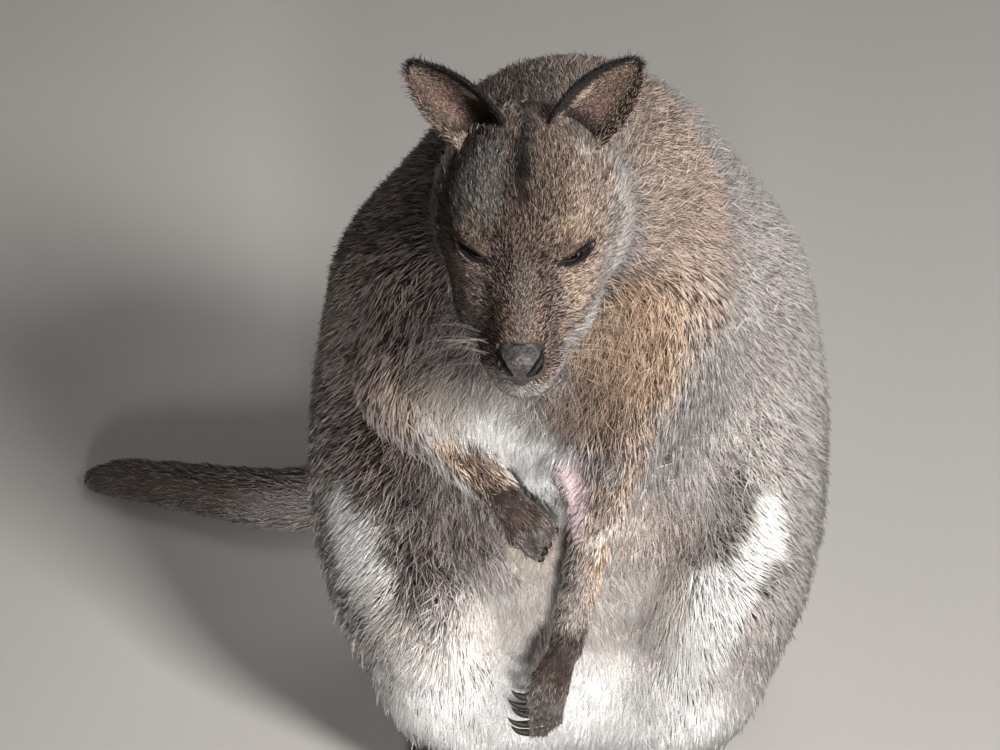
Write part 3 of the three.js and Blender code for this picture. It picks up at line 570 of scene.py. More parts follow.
def markings(p):
    # The body's spots over slate and the head's over brown, their edges bent by noise, mixed by how
    # much nearer the head's masses are. Then the rims of the eyes, the tail and the left wrist.
    warp, fray = sway(p, spotEdges["warp"], (1, 2, 3)), sway(p, spotEdges["fray"], (21, 22, 23))
    body = p + warp * spotEdges["bodyWarp"] + fray * spotEdges["bodyFray"]
    colour = laid(plain(coats["slate"], len(p)), body, bodySpots)
    local = toHead(p)
    onFace = local + warp * spotEdges["headWarp"] + fray * spotEdges["headFray"]
    face = laid(plain(coats["brown"], len(p)), onFace, headSpots)
    a, b, r = eyePlaces(local)
    pastCorner = np.maximum(np.abs(a) - eye["slitWidth"] / 2, 0)
    rim = np.hypot(pastCorner * 0.8, np.maximum(np.abs(b) - slitHalf(a), 0))
    face = tinted(face, skinTones["lidRim"], (1 - ease(0.8, 3.0, rim)) * (r > 0))
    headFar, bodyFar = union(local, headMasses, 0), union(p, bodyMasses, 0)
    colour = tinted(colour, face, ease(6, -8, headFar - bodyFar * 0.6))
    tail = ease(40, 150, -p[:, 0]) * ease(190, 215, p[:, 1]) + ease(215, 250, p[:, 1])
    colour = tinted(colour, coats["tail"], np.clip(tail, 0, 1))
    wrist = ease(190, 166, p[:, 2] + warp[:, 0] * 16) * ease(-160, -168, p[:, 1])
    wrist = wrist * ease(40, 25, np.abs(p[:, 0] + 5))
    return tinted(colour, coats["wrist"], wrist)


def newMaterial(name, roughness, **sockets):
    # a Principled material with these values on its own sockets
    made = bpy.data.materials.new(name)
    made.use_nodes = True
    shader = made.node_tree.nodes["Principled BSDF"]
    shader.inputs["Roughness"].default_value = roughness
    for socket, value in sockets.items():
        shader.inputs[socket].default_value = value
    return made, made.node_tree, shader


def addNode(tree, kind, **values):
    # a node with these properties, or values on its sockets
    node = tree.nodes.new(kind)
    for key, value in values.items():
        if hasattr(node, key):
            setattr(node, key, value)
        else:
            node.inputs[key].default_value = value
    return node


def ownColour(tree):
    # the colour that each piece carries at its points
    return addNode(tree, "ShaderNodeAttribute", attribute_name="coatColour").outputs["Color"]


def grainNode(tree, kind, **values):
    # a texture that reads the piece's Object coordinates
    texture = addNode(tree, kind, **values)
    place = addNode(tree, "ShaderNodeTexCoord")
    tree.links.new(place.outputs["Object"], texture.inputs["Vector"])
    return texture


def addBump(tree, shader, height, strength, distance):
    # bump of a height onto the shader, its distance in metres
    bump = addNode(tree, "ShaderNodeBump", Strength=strength, Distance=distance)
    tree.links.new(height, bump.inputs["Height"])
    tree.links.new(bump.outputs["Normal"], shader.inputs["Normal"])


def furMaterial(name, grain, depth):
    # the piece's own colours, broken up by a fine grain, with a little bump of the same grain
    made, tree, shader = newMaterial(name, 0.6, **{"Specular IOR Level": 0.22, "Sheen Weight": 0.15,
                                                   "Sheen Roughness": 0.45})
    noise = grainNode(tree, "ShaderNodeTexNoise", Scale=grain, Detail=3.0)
    spread = addNode(tree, "ShaderNodeMapRange")
    for socket, value in (("From Min", 0.3), ("From Max", 0.7), ("To Min", 0.72), ("To Max", 1.25)):
        spread.inputs[socket].default_value = value
    tree.links.new(noise.outputs["Fac"], spread.inputs["Value"])
    mix = addNode(tree, "ShaderNodeMix", data_type="RGBA", blend_type="MULTIPLY")
    mix.inputs["Factor"].default_value = 1.0
    tree.links.new(ownColour(tree), mix.inputs[6])
    tree.links.new(spread.outputs["Result"], mix.inputs[7])
    tree.links.new(mix.outputs[2], shader.inputs["Base Color"])
    if depth:
        addBump(tree, shader, noise.outputs["Fac"], 0.6, depth)
    return made


coatMaterial = furMaterial("wallaby coat", 700.0, 0)
skinMaterial = furMaterial("wallaby skin", 900.0, 0.0008)


def addPiece(name, points, faces, material, stands, colours=None, uv=None):
    # a mesh of points in millimetres and faces as rows of equal length, in place of the nodes in stands
    faces = np.ascontiguousarray(faces, np.int32)
    mesh = bpy.data.meshes.new(name)
    mesh.vertices.add(len(points))
    mesh.vertices.foreach_set("co", toFrame(points).astype(np.float32).ravel())
    mesh.loops.add(faces.size)
    mesh.loops.foreach_set("vertex_index", faces.ravel())
    mesh.polygons.add(len(faces))
    mesh.polygons.foreach_set("loop_start", np.arange(0, faces.size, faces.shape[1], dtype=np.int32))
    mesh.polygons.foreach_set("use_smooth", np.full(len(faces), True))
    if colours is not None:
        layer = mesh.color_attributes.new("coatColour", "FLOAT_COLOR", "POINT")
        opaque = np.column_stack([colours, np.ones(len(points))])
        layer.data.foreach_set("color", opaque.astype(np.float32).ravel())
    if uv is not None:
        layer = mesh.uv_layers.new(name="OFBake")
        layer.data.foreach_set("uv", uv[faces.ravel()].astype(np.float32).ravel())
    mesh.materials.append(material)
    mesh.update()
    mesh.validate()
    piece = bpy.data.objects.new(name, mesh)
    bpy.context.scene.collection.objects.link(piece)
    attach(piece, "root")
    if stands:
        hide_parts(*stands)
    print(name, len(points), "points", len(faces), "faces")


# the skin of head, trunk, arms and tail: its cells, its longest edges by place, and the box it fills
skin = {"cell": 5.2, "face": 1.5, "headRest": 2.6, "lids": 0.75, "elsewhere": 100.0,
        "low": (-375, -268, -6), "high": (178, 320, 526)}
points, faces = netSurface(skinField, skin["low"], skin["high"], skin["cell"])
points = settle(points, skinField, skin["cell"] / 2)
print("flesh", len(points), len(faces))


def longestEdge(p):
    # long on the body, shorter on the head, shortest at the lids
    local = toHead(p)
    onHead = (union(local, headMasses, 0) < 3) & (local[:, 1] < 70)
    length = np.where(onHead, skin["headRest"], skin["elsewhere"])
    length = np.where(onHead & (local[:, 1] < -5) & (local[:, 2] > -45), skin["face"], length)
    a, b, r = eyePlaces(local)
    return np.where((np.hypot(a * 0.8, b) < 13) & (r > 0), skin["lids"], length)


for _ in range(4):
    points, faces = splitLong(points, faces, longestEdge)
    points = settle(smoothed(points, faces, 1, 0.3), skinField, 2, 1)
points = settle(points, skinField, 2, 2)
print("refined", len(points), len(faces))


def withLids(p):
    # The skin over each eye swells to a ball round it, with a crease above and below the opening,
    # and inside the opening drops behind the eye's surface.
    local = toHead(p)
    a, b, r = eyePlaces(local)
    near = (1 - ease(9, 16, np.hypot(a * 0.8, b))) * (r > 0)
    ball = np.sqrt(np.maximum(eye["lid"] ** 2 - a**2 - b**2, 1))
    swell = -meltInto(-r, -ball, 3.0)
    for deep, across, bow, wide, (fade, end) in eye["creases"]:
        crease = np.exp(-(((b - across + a * a * bow) / wide) ** 2))
        swell = swell - deep * crease * (1 - ease(fade, end, np.abs(a)))
    gap = np.abs(b) - slitHalf(a)
    swell = swell + 0.35 * np.exp(-(((gap - 0.8) / 0.6) ** 2)) * (1 - ease(9, 12, np.abs(a)))
    inside = ease(0.45, -0.45, gap) * (np.abs(a) < eye["slitWidth"] / 2)
    swell = swell + (eye["radius"] - eye["behindLid"] - swell) * inside
    move = (swell - r) * near
    out = eyeFrame()[2]
    side = np.where(local[:, :1] < 0, -1.0, 1.0)
    return p + (move[:, None] * out * np.hstack([side, np.ones((len(p), 2))])) @ headTurn.T


# the line of the lips on the left, from the middle to the corner, in the head's frame
mouth = {"path": [(0, -101, -33), (11, -95, -33), (19, -78, -30), (25, -58, -29), (30, -46, -28)],
         "depth": 1.6, "width": 1.5}


def mouthShare(q):
    # 1 on the line where the lips meet, easing to 0 a little way off it
    line = curveThrough([row + (0,) for row in mouth["path"]], 30)[:, :3]
    local = toLeft(q)
    far = np.full(len(q), 99.0)
    for point in line:
        far = np.minimum(far, np.linalg.norm(local - point, axis=1))
    return np.exp(-((far / mouth["width"]) ** 2))


normals = normalsOf(points, faces)
points = points - normals * (mouth["depth"] * mouthShare(toHead(points)))[:, None]
points = withLids(points)


def lieOf(p):
    # The way the hair points: the sum of the masses' own ways, each by e to the minus its distance
    # over 9 mm. On the head it runs back from the nose. part is the nearest mass's.
    total = np.zeros_like(p)
    best = np.full(len(p), 1e9)
    part = np.full(len(p), "trunk", dtype="U8")
    away = unit(toHead(p) - (0, -112, -4)) @ headTurn.T
    rows = [(distanceTo(p, mass) + mass["coat"], unit(np.array(mass["lie"], float)) * (mass["side"], 1, 1),
             mass["part"]) for mass in bodyMasses + limbMasses]
    rows.append((union(toHead(p), headMasses, 1) - 3, away, "head"))
    for far, way, name in rows:
        total += np.exp(-np.clip(far, -12, 80) / 9)[:, None] * way
        part = np.where(far < best, name, part)
        best = np.minimum(best, far)
    return total, part


flesh = {"points": points, "faces": faces, "normals": normalsOf(points, faces)}
flesh["lie"], flesh["part"] = lieOf(points)
# the coat's depth, which the creases between masses would otherwise lose
depths = {"head": 1.4, "neck": 6, "trunk": 8, "thigh": 8, "arm": 3.5, "tail": 3, "most": 24}
flesh["depth"] = np.clip(-coatField(points), [depths[part] for part in flesh["part"]], depths["most"])

# Hands by the wrist, the first and last knuckle and the first and last fingertip; way is where the
# fingertips point, and bend where the claws turn to.
hands = {
    "left": {"wrist": (-4, -176, 160), "knuckles": ((-20, -186, 142), (-10, -184, 108)),
             "tips": ((-26, -188, 128), (-24, -178, 94)), "way": (-0.95, -0.1, -0.1), "bend": (0.15, 0, 1),
             "arm": (3, -176, 190), "clawLifts": (0.1, 0.02, 0.12, -0.06, 0.0)},
    "right": {"wrist": (-42, -165, 260), "knuckles": ((-36, -178, 240), (-28, -164, 233)),
              "tips": ((-20, -179, 226), (-11, -161, 235)), "way": (0, 0.8, -0.6), "bend": (0, 1, 0.3),
              "arm": (-56, -153, 272), "palm": (-22, -171, 241), "clawLifts": (0, 0, 0, 0, 0)},
    "clawShares": (0.8, 1.0, 0.86, 1.08, 0.96), "clawLength": 22, "clawRadius": 2.5,
    "armRadii": (11.0, 10.2), "armCoat": 2.4, "heelRadii": (10.5, 12.0), "palmRadius": 7.6,
    "fingerRadius": 4.1, "jointShares": (1.35, 0.85), "endShares": (1.1, 0.95), "padShare": 0.85,
    "cell": 1.1, "coat": 1.3, "furDepth": 1.5,
}
# The left foot and its toes by x, y, z and radius along each, and each claw's length and radius.
foot = {
    "spread": 82, "cell": 2.3, "coat": 2.6, "furDepth": 2.8, "low": (-42, -205, -3), "high": (42, 36, 56),
    "path": [(-8, 4, 23, 26), (-6, -30, 20.5, 23.5), (-3, -72, 17, 20.5), (0, -112, 14.5, 18),
             (0, -140, 12, 15.5)],
    "toes": {
        "second": ([(-15, -118, 8, 10), (-20, -138, 6, 7), (-21.5, -148, 5, 5.5)], (10, 2)),
        "third": ([(-11, -120, 8, 10), (-14, -142, 6, 7), (-15, -152, 5, 5.5)], (10, 2)),
        "fourth": ([(2, -134, 11, 14.5), (4, -170, 9, 12), (5, -190, 7.5, 9.5)], (27, 5)),
        "fifth": ([(14, -116, 8, 11), (20, -146, 7, 9), (22, -160, 6, 7.5)], (16, 3.6)),
    },
}
clawRows = []  # name, root, way, bend, length, radius


def digitsOf(shape):
    # Five knuckles and fingertips in even steps from the first to the last, and the joints half way
    # between them, pushed out by a little of the way from the wrist.
    share = np.linspace(0, 1, 5)[:, None]
    knuckle = np.array(shape["knuckles"][0]) * (1 - share) + np.array(shape["knuckles"][1]) * share
    tip = np.array(shape["tips"][0]) * (1 - share) + np.array(shape["tips"][1]) * share
    middle = (knuckle + tip) / 2 + (knuckle - np.array(shape["wrist"])) * 0.08
    return knuckle, middle, tip


def bar(a, b, radii, melt, coat):
    # a rod of the kind that bodyMasses holds
    return {"rod": (a, b), "radii": radii, "melt": melt, "coat": coat, "side": 1}


def handParts(side):
    # a wrist, a bone to each knuckle, three lengths to each finger, and soft pads under the tips
    shape = hands[side]
    knuckle, middle, tip = digitsOf(shape)
    wrist, coat, thick = np.array(shape["wrist"], float), hands["coat"], hands["fingerRadius"]
    rows = [bar(np.array(shape["arm"], float), wrist, hands["armRadii"], 4, hands["armCoat"])]
    palmSide = unit(np.array(shape["way"], float))
    if "palm" in shape:
        rows.append(bar(wrist, np.array(shape["palm"], float), hands["heelRadii"], 5, coat))
    joint, end = [[thick * share for share in hands[key]] for key in ("jointShares", "endShares")]
    padRadius = thick * hands["padShare"]
    for k, m, t in zip(knuckle, middle, tip):
        rows.append(bar(wrist, k, (hands["palmRadius"], thick * 1.3), 4, coat))
        rows.append(bar(k, m, joint, 0.9, coat))
        rows.append(bar(m, t, end, 0.9, coat))
        pad = t + palmSide * 1.6 - (t - m) * 0.15
        rows.append(bar(pad, pad + 0.1, (padRadius, padRadius), 1.2, coat * 0.6))
    return rows


def footParts():
    # rods through the foot's own path and through each toe's
    rows = []
    for path, melt, count in [(foot["path"], 12, 9)] + [(toe[0], 4, 6) for toe in foot["toes"].values()]:
        way = curveThrough(path, count)
        rows += [bar(a[:3], b[:3], (a[3], b[3]), melt, foot["coat"]) for a, b in zip(way[:-1], way[1:])]
    return rows


def addPart(points, faces, lie, part, depth, **places):
    # a part of the skin, kept with its normals until all parts are joined
    extremities.append({"points": points, "faces": faces, "normals": normalsOf(points, faces), "lie": lie,
                        "part": part, "depth": depth, **places})


extremities = []
for side in ("left", "right"):
    rows = handParts(side)
    shape = hands[side]
    knuckle, middle, tip = digitsOf(shape)
    everything = np.vstack([knuckle, tip, [shape["wrist"]], [shape["arm"]]])

    def handField(p, rows=rows):
        # the union of the hand's rods, less their coat
        return union(p, rows, 1)

    points, faces = netSurface(handField, everything.min(0) - 16, everything.max(0) + 16, hands["cell"])
    points = settle(points, handField, 0.6)
    lie = (knuckle.mean(0) - np.array(shape["wrist"])) * np.ones((len(points), 1))
    addPart(points, faces, lie, np.full(len(points), "hand"), np.full(len(points), hands["furDepth"]))
    for n in range(5):
        way = unit(np.array(shape["way"], float)) + (0, 0, shape["clawLifts"][n])
        length = hands["clawLength"] * hands["clawShares"][n]
        name = f"claw_hand_{side}_{n + 1}"
        clawRows.append((name, tip[n], way, shape["bend"], length, hands["clawRadius"]))

for side, sign in (("left", 1), ("right", -1)):
    rows = footParts()

    def footField(p, rows=rows):
        # the union of the foot's rods, less their coat, cut flat just above the floor
        return np.maximum(union(p, rows, 1), 1.2 - p[:, 2])

    points, faces = netSurface(footField, foot["low"], foot["high"], foot["cell"])
    points = settle(points, footField, 0.8)
    points = (points + (foot["spread"], 0, 0)) * (sign, 1, 1)
    lie = np.repeat([[0, -1.0, -0.15]], len(points), 0)
    depth = np.full(len(points), foot["furDepth"])
    addPart(points, faces[:, ::sign], lie, np.full(len(points), "foot"), depth)
    for toe, (path, (length, radius)) in foot["toes"].items():
        before, end = (np.array(row, float) * (sign, 1, 1, 1) + (sign * foot["spread"], 0, 0, 0)
                       for row in path[-2:])
        root = (end[0], end[1] - end[3] * 0.4, end[2] + end[3] * 0.2)
        clawRows.append((f"claw_foot_{side}_{toe}", root, end[:3] - before[:3], (0, 0, -1), length, radius))
print("hands and feet")

# Ears in the head's frame. open is where the cup faces, arcs half the angle that it is rolled through
# at its root and at its tip, root its width there as a share, and sunk the share inside the head.
ears = {
    "left": {"base": (25.5, 41.5, 27), "tip": (36, 23, 46), "open": (0.15, -0.7, 0.7), "inner": -1,
             "shade": 0.2},
    "right": {"base": (-30, 41, 26), "tip": (-39.5, 17.7, 45), "open": (-0.2, -0.75, 0.65), "inner": 1,
              "shade": 0.95},
    "length": 73, "halfWidth": 22.5, "thickness": 2.0, "coat": 0.9, "curl": 8, "arcs": (118, 38),
    "root": 0.72, "sunk": 0.12, "rows": 44, "columns": 33, "backDepth": 1.6, "frontDepth": (1.0, 1.1),
}
# hollow is painted shade in the deep of each ear's cup, as strong as that ear's shade
earTones = {
    "inside": tone(114, 98, 86), "flush": tone(140, 112, 104), "root": tone(40, 32, 30),
    "farEdge": tone(74, 62, 57), "hollow": tone(44, 36, 33), "back": tone(100, 84, 74),
    "paleTufts": [(0.42, 0.45, 0.12, 0.2), (0.12, 0.75, 0.1, 0.3), (0.1, -0.8, 0.09, 0.3)],
}


def earSurface(shape, u, v, inner):
    # A cup rolled about the ear's length: u runs from its root to its tip, v from -1 to 1 round it.
    # inner is 0 on the back and 1 on the hollow side. The hollow side has low ribs near the root.
    along = unit(np.array(shape["tip"], float))
    facing = np.array(shape["open"], float)
    facing = unit(facing - along * (facing @ along))
    side = np.cross(along, facing)
    half = ears["halfWidth"] * (ears["root"] + 4 * (1 - ears["root"]) * u * (1 - u))
    half = half * np.sqrt(np.maximum(1 - u**3, 0.012))
    arc = np.radians(ears["arcs"][0] + (ears["arcs"][1] - ears["arcs"][0]) * np.sqrt(u))
    radius = half / np.sin(np.minimum(arc, np.pi / 2))
    rim = 1 - ease(0.82, 1.0, np.abs(v)) * 0.55
    wall = ears["thickness"] * (1 - 0.4 * u) * rim
    ribs = 0.5 * np.sin(v * 9 + u * 3) * (1 - ease(0.35, 0.7, u)) * (1 - ease(0.5, 0.9, np.abs(v)))
    reach = radius - ears["coat"] - inner * (wall + ribs)
    angle = arc * v * (1 - 0.02 * inner)
    outer = np.maximum(-v * shape["inner"], 0)
    sideways = reach * np.sin(angle) * (1 - 0.16 * outer)
    forward = radius - reach * np.cos(angle) + ears["curl"] * u * u - ears["root"] * ears["halfWidth"]
    place = np.array(shape["base"], float) + along * (ears["length"] * (u[..., None] - ears["sunk"]))
    return place + sideways[..., None] * side + forward[..., None] * facing, along


for name in ("left", "right"):
    # Rings round the ear, down its back and up its hollow side, closed at the root and the tip.
    shape = ears[name]
    v = np.linspace(-1, 1, ears["columns"])
    u = np.linspace(0, 0.985, ears["rows"])
    gridU, gridV = np.meshgrid(u, v, indexing="ij")
    back, along = earSurface(shape, gridU, gridV, 0)
    front, _ = earSurface(shape, gridU, gridV, 1)
    rings = np.concatenate([back[:, ::-1], front], 1)
    count = rings.shape[1]
    i, j = np.meshgrid(np.arange(len(u) - 1), np.arange(count), indexing="ij")
    k = (j + 1) % count
    quads = np.stack([i * count + j, i * count + k, (i + 1) * count + k, (i + 1) * count + j], -1)
    start = np.arange(len(v) - 1)
    cap = np.stack([start, start + 1, count - 2 - start, count - 1 - start], 1)
    faces = halved(np.vstack([quads.reshape(-1, 4), cap[:, ::-1], cap + (len(u) - 1) * count]))
    onBack = np.concatenate([np.ones_like(gridU), np.zeros_like(gridU)], 1).ravel() > 0.5
    placeU = np.concatenate([gridU, gridU], 1).ravel()
    placeV = np.concatenate([gridV[:, ::-1], gridV], 1).ravel()
    side = np.cross(along, np.array(shape["open"], float))
    fringe = 0.9 * np.sign(placeV) * ease(0.55, 0.95, np.abs(placeV))  # hair leans past the rim
    least, more = ears["frontDepth"]
    depth = np.where(onBack, ears["backDepth"], least + more * ease(0.55, 0.9, np.abs(placeV)))
    addPart(fromHead(rings.reshape(-1, 3)), faces, (along + side * fringe[:, None]) @ headTurn.T,
            np.where(onBack, "earBack", "earFront"), depth, u=placeU, v=placeV * shape["inner"])
print("ears")


def earColour(u, v, back, shade):
    # v is 1 on the edge next to the mid-line: black rim there and at the tip, a dark root with pale
    # tufts beside it, greyer towards the far edge, and painted shade in the deep of the cup by shade
    inside = plain(earTones["inside"], len(u))
    flush = (1 - ease(0.15, 0.6, np.abs(v + 0.1))) * (1 - ease(0.4, 0.75, u))
    hollow = 1 - ease(0.3, 1, np.hypot((u - 0.25) / 0.28, (v - 0.3) / 0.6))
    inside = tinted(inside, earTones["flush"], flush * 0.5)
    inside = tinted(inside, earTones["root"], ease(0.34, 0.16, u) * 0.9)
    inside = tinted(inside, earTones["farEdge"], ease(-0.4, -0.8, v) * 0.85)
    # painted shade in the deep of the cup, as strong as the ear's shade
    inside = tinted(inside, earTones["hollow"], hollow * shade)
    for middleU, middleV, reachU, reachV in earTones["paleTufts"]:
        spot = 1 - ease(0.5, 1, np.hypot((u - middleU) / reachU, (v - middleV) / reachV))
        inside = tinted(inside, coats["buff"], spot * 0.8)
    colour = np.where(back[:, None], earTones["back"], inside)
    rim = np.maximum(ease(0.42, 0.72, v), ease(0.88, 0.96, u))
    return tinted(colour, coats["black"], rim * 0.94)


# all parts as one skin, with the ears' own places u and v where there are any
allParts = [flesh] + extremities
starts = np.cumsum([0] + [len(part["points"]) for part in allParts])
whole = {key: np.concatenate([part[key] for part in allParts])
         for key in ("points", "normals", "lie", "part", "depth")}
whole["faces"] = np.vstack([part["faces"] + start for part, start in zip(allParts, starts)])
for key in ("u", "v"):
    whole[key] = np.concatenate([part.get(key, np.full(len(part["points"]), np.nan)) for part in allParts])

nostril = [  # each hollow on the left: from the outer corner down to the middle
    bar((13.6, -86, 6.0), (13.4, -91.5, 6.6), (0.7, 1.6), 2, 0),
    bar((13.4, -91.5, 6.6), (11.5, -96.3, 6.4), (1.6, 2.4), 2, 0),
    bar((11.5, -96.3, 6.4), (8.8, -99.8, 5.4), (2.4, 1.9), 2, 0),
    bar((8.8, -99.8, 5.4), (5.2, -102.2, 3.4), (1.9, 0.8), 2, 0),
]


def nostrilFar(q):
    # how far a point in the head's frame is from the hollow of its side's nostril
    return np.min([distanceTo(toLeft(q), row) for row in nostril], axis=0)


def padReach(q):
    # how far a point in the head's frame is from the nose pad's middle: 1 at its edge
    return np.minimum(np.linalg.norm((q - (0, -95, -3)) / (14, 10, 12), axis=1),
                      np.linalg.norm((q - (0, -87, 3.5)) / (13, 11, 9), axis=1))


def fingerShare(p, part):
    # 0 on the wrist and the back of the hand, 1 on the fingers
    share = np.zeros(len(p))
    for side in ("left", "right"):
        wrist = np.array(hands[side]["wrist"], float)
        way = (np.array(hands[side]["knuckles"]) + np.array(hands[side]["tips"])).mean(0) / 2 - wrist
        t = (p - wrist) @ way / (way @ way)
        near = (part == "hand") & (np.linalg.norm(p - wrist, axis=1) < 90)
        share = np.where(near, ease(0.5, 0.85, t), share)
    return share


def bareShare(p, part):
    # 1 on the thinly haired skin of the armpit, which the hand in front of it doesn't share
    offHand = ease(20, 34, np.linalg.norm(p - (-30, -172, 242), axis=1)) * (part != "hand")
    return spotShare(p, bodySpots[-1]) * offHand


def coloursOf(p, part, normals, u, v):
    # the body's markings, and over them the hands, the feet with their soles, and the ears
    colour = markings(p)
    onHand, onFoot = part == "hand", part == "foot"
    paw = tinted(coats["paw"], coats["finger"], fingerShare(p, part))
    paw = paw * (0.5 + 1.0 * cloud(p, 4, 12)[:, None])
    colour = np.where(onHand[:, None], paw, colour)
    fade = ease(-60, -150, p[:, 1])[:, None]
    footTone = coats["brown"] * (1 - fade) + coats["dark"] * fade
    colour = np.where(onFoot[:, None], footTone, colour)
    sole = onFoot & (normals[:, 2] < -0.5) & (p[:, 2] < 8)
    colour = np.where(sole[:, None], skinTones["sole"], colour)
    # each ear's painted shade: strong on the right ear, slight on the left
    shade = np.where(toHead(p)[:, 0] > 0, ears["left"]["shade"], ears["right"]["shade"])
    onEar = earColour(np.nan_to_num(u), np.nan_to_num(v), part == "earBack", shade)
    return np.where(np.isfinite(u)[:, None], onEar, colour)


def lightness(colour):
    # how light a colour looks: 0.3 of its red, 0.6 of its green and 0.1 of its blue
    return colour @ np.array([0.3, 0.6, 0.1])


# The skin has its coat's colour, darker under dark hair, with the lips, the armpit and painted shade
# under the rim of the nose pad and in the nostrils over it. Only the hollow of the ears keeps the colour as
# it is.
whole["colour"] = coloursOf(whole["points"], whole["part"], whole["normals"], whole["u"], whole["v"])
onFace = toHead(whole["points"])
skinColour = whole["colour"] * (0.6 + 0.28 * ease(0.4, 0.8, lightness(whole["colour"])))[:, None]
skinColour = tinted(skinColour, skinTones["lips"], mouthShare(onFace))
bare = bareShare(whole["points"], whole["part"])[:, None]
skinColour = skinColour * (1 - bare) + coats["pink"] * bare
# painted shade, near black, where the skin runs under the nose pad and into the nostrils
shadeUnderNose = np.maximum(ease(1.06, 0.94, padReach(onFace)), ease(2.4, 1.2, nostrilFar(onFace)))
skinColour = tinted(skinColour, skinTones["shadeUnderNose"], shadeUnderNose)
skinColour = np.where((whole["part"] == "earFront")[:, None], whole["colour"], skinColour)

fleshNodes = ["head", "neck", "trunk"]
for limb in ("ear", "upper_arm", "forearm", "hand", "thigh", "shank", "foot"):
    fleshNodes += [f"{limb}_left", f"{limb}_right"]
fleshNodes += ["tail_base", "tail_middle", "tail_tip"]
addPiece("skin", whole["points"], whole["faces"], skinMaterial, fleshNodes, skinColour)

# Each piece of the coat: how many tufts, their width, their length and lean as shares of the coat's
# depth there, and how strongly they gather into locks of a size. tick is how dark and light the hair
# is banded; a tuft is pale-tipped if its draw is under pale, and dark-tipped if it is over deep.
usual = {"lean": 0.95, "gather": 0.2, "lock": 8, "tick": 1, "pale": 0.4, "deep": 0.68, "calm": 1,
         "stray": 0.3}
coatPieces = {
    "fur_face": {"tufts": 49500, "width": 0.4, "length": 1.35, "gather": 0.12, "lock": 3, "tick": 1.45,
                 "pale": 0.34, "deep": 0.56, "calm": 0.3},
    "fur_head": {"tufts": 26000, "width": 0.45, "length": 1.5, "gather": 0.15, "lock": 5, "tick": 1.45,
                 "pale": 0.34, "deep": 0.56, "calm": 0.3},
    "fur_ears": {"tufts": 17000, "width": 0.36, "length": 3.2, "lean": 0.9, "gather": 0.15, "lock": 3,
                 "tick": 1.7},
    "fur_neck": {"tufts": 49500, "width": 0.54, "length": 0.9, "gather": 0.08, "lock": 6, "tick": 1.2,
                 "pale": 0.36, "deep": 0.6, "stray": 0.36},
    "fur_front": {"tufts": 49500, "width": 0.6, "length": 1.5, "lean": 1.0, "lock": 9, "tick": 1.1,
                  "calm": 0.6, "stray": 0.4},
    "fur_back": {"tufts": 38000, "width": 0.95, "length": 1.3},
    "fur_flanks": {"tufts": 49500, "width": 0.62, "length": 0.85, "gather": 0.08, "lock": 6, "tick": 1.1,
                   "deep": 0.62, "stray": 0.4},
    "fur_thighs": {"tufts": 49500, "width": 0.68, "length": 1.25, "lean": 1.0, "gather": 0.14,
                   "stray": 0.36},
    "fur_arms": {"tufts": 16000, "width": 0.5, "length": 1.6, "gather": 0.16, "lock": 6, "tick": 1.3},
    "fur_hands": {"tufts": 9000, "width": 0.4, "length": 3.2, "lean": 0.8, "lock": 5, "tick": 1.3},
    "fur_feet": {"tufts": 8000, "width": 0.6, "length": 2.4, "lean": 0.8, "lock": 5},
    "fur_tail": {"tufts": 13000, "width": 0.9, "length": 2.2, "tick": 0.6},
}
pieceParts = {"neck": "fur_neck", "thigh": "fur_thighs", "arm": "fur_arms", "tail": "fur_tail",
              "hand": "fur_hands", "foot": "fur_feet", "earBack": "fur_ears", "earFront": "fur_ears",
              "head": "fur_head"}
# Every tuft: how deep its foot sits, how far out its keel and its tip stand as shares of its length and
# rise, and its patch of the coat's own map. wisps are long single hairs that stand out of the coat.
tuft = {
    "sunk": 0.35, "keelAlong": 0.42, "keelUp": 0.52, "keelPull": 0.35, "tipAlong": 0.95,
    "patch": [(-0.0015, -0.0015), (0.0015, -0.0015), (0.0, 0.0002), (0.0004, 0.0015)],
}
wisps = {"share": 0.05, "leastDepth": 5, "length": 1.7, "width": 0.6, "rise": 2.5}


def pieceOf(p, part):
    # The coat piece that each point of the skin belongs to: by its part, the trunk by how far round
    # from the front it lies, in degrees, and the head by how near the nose.
    local = toHead(p)
    name = np.full(len(p), "fur_flanks", dtype="U12")
    turn = np.abs(np.degrees(np.arctan2(p[:, 0], -(p[:, 1] - 10))))
    name = np.where((part == "trunk") & (turn < 52), "fur_front", name)
    name = np.where((part == "trunk") & (turn > 118), "fur_back", name)
    for key, piece in pieceParts.items():
        name = np.where(part == key, piece, name)
    return np.where((part == "head") & (local[:, 1] < 12) & (local[:, 2] > -30), "fur_face", name)


def chartOf(piece, p):
    # where a point lies on the unrolled skin: the angle round the part's axis by the place along it
    if piece in ("fur_face", "fur_head", "fur_ears"):
        q = toHead(p)
        return np.stack([np.arctan2(q[:, 0], q[:, 2]) * 45, q[:, 1]], -1)
    if piece == "fur_tail":
        return np.stack([np.arctan2(p[:, 2] - 26, p[:, 1] - 235) * 30, p[:, 0]], -1)
    if piece in ("fur_arms", "fur_hands", "fur_feet"):
        turn = np.arctan2(p[:, 0] + 20, -(p[:, 1] + 120))
        return np.stack([turn * 60 + p[:, 0] * 0.5, p[:, 2] + p[:, 1] * 0.3], -1)
    turn = np.arctan2(p[:, 0], -(p[:, 1] - 10))
    if piece == "fur_back":
        turn = np.mod(turn, 2 * np.pi)
    return np.stack([turn * 130, p[:, 2]], -1)


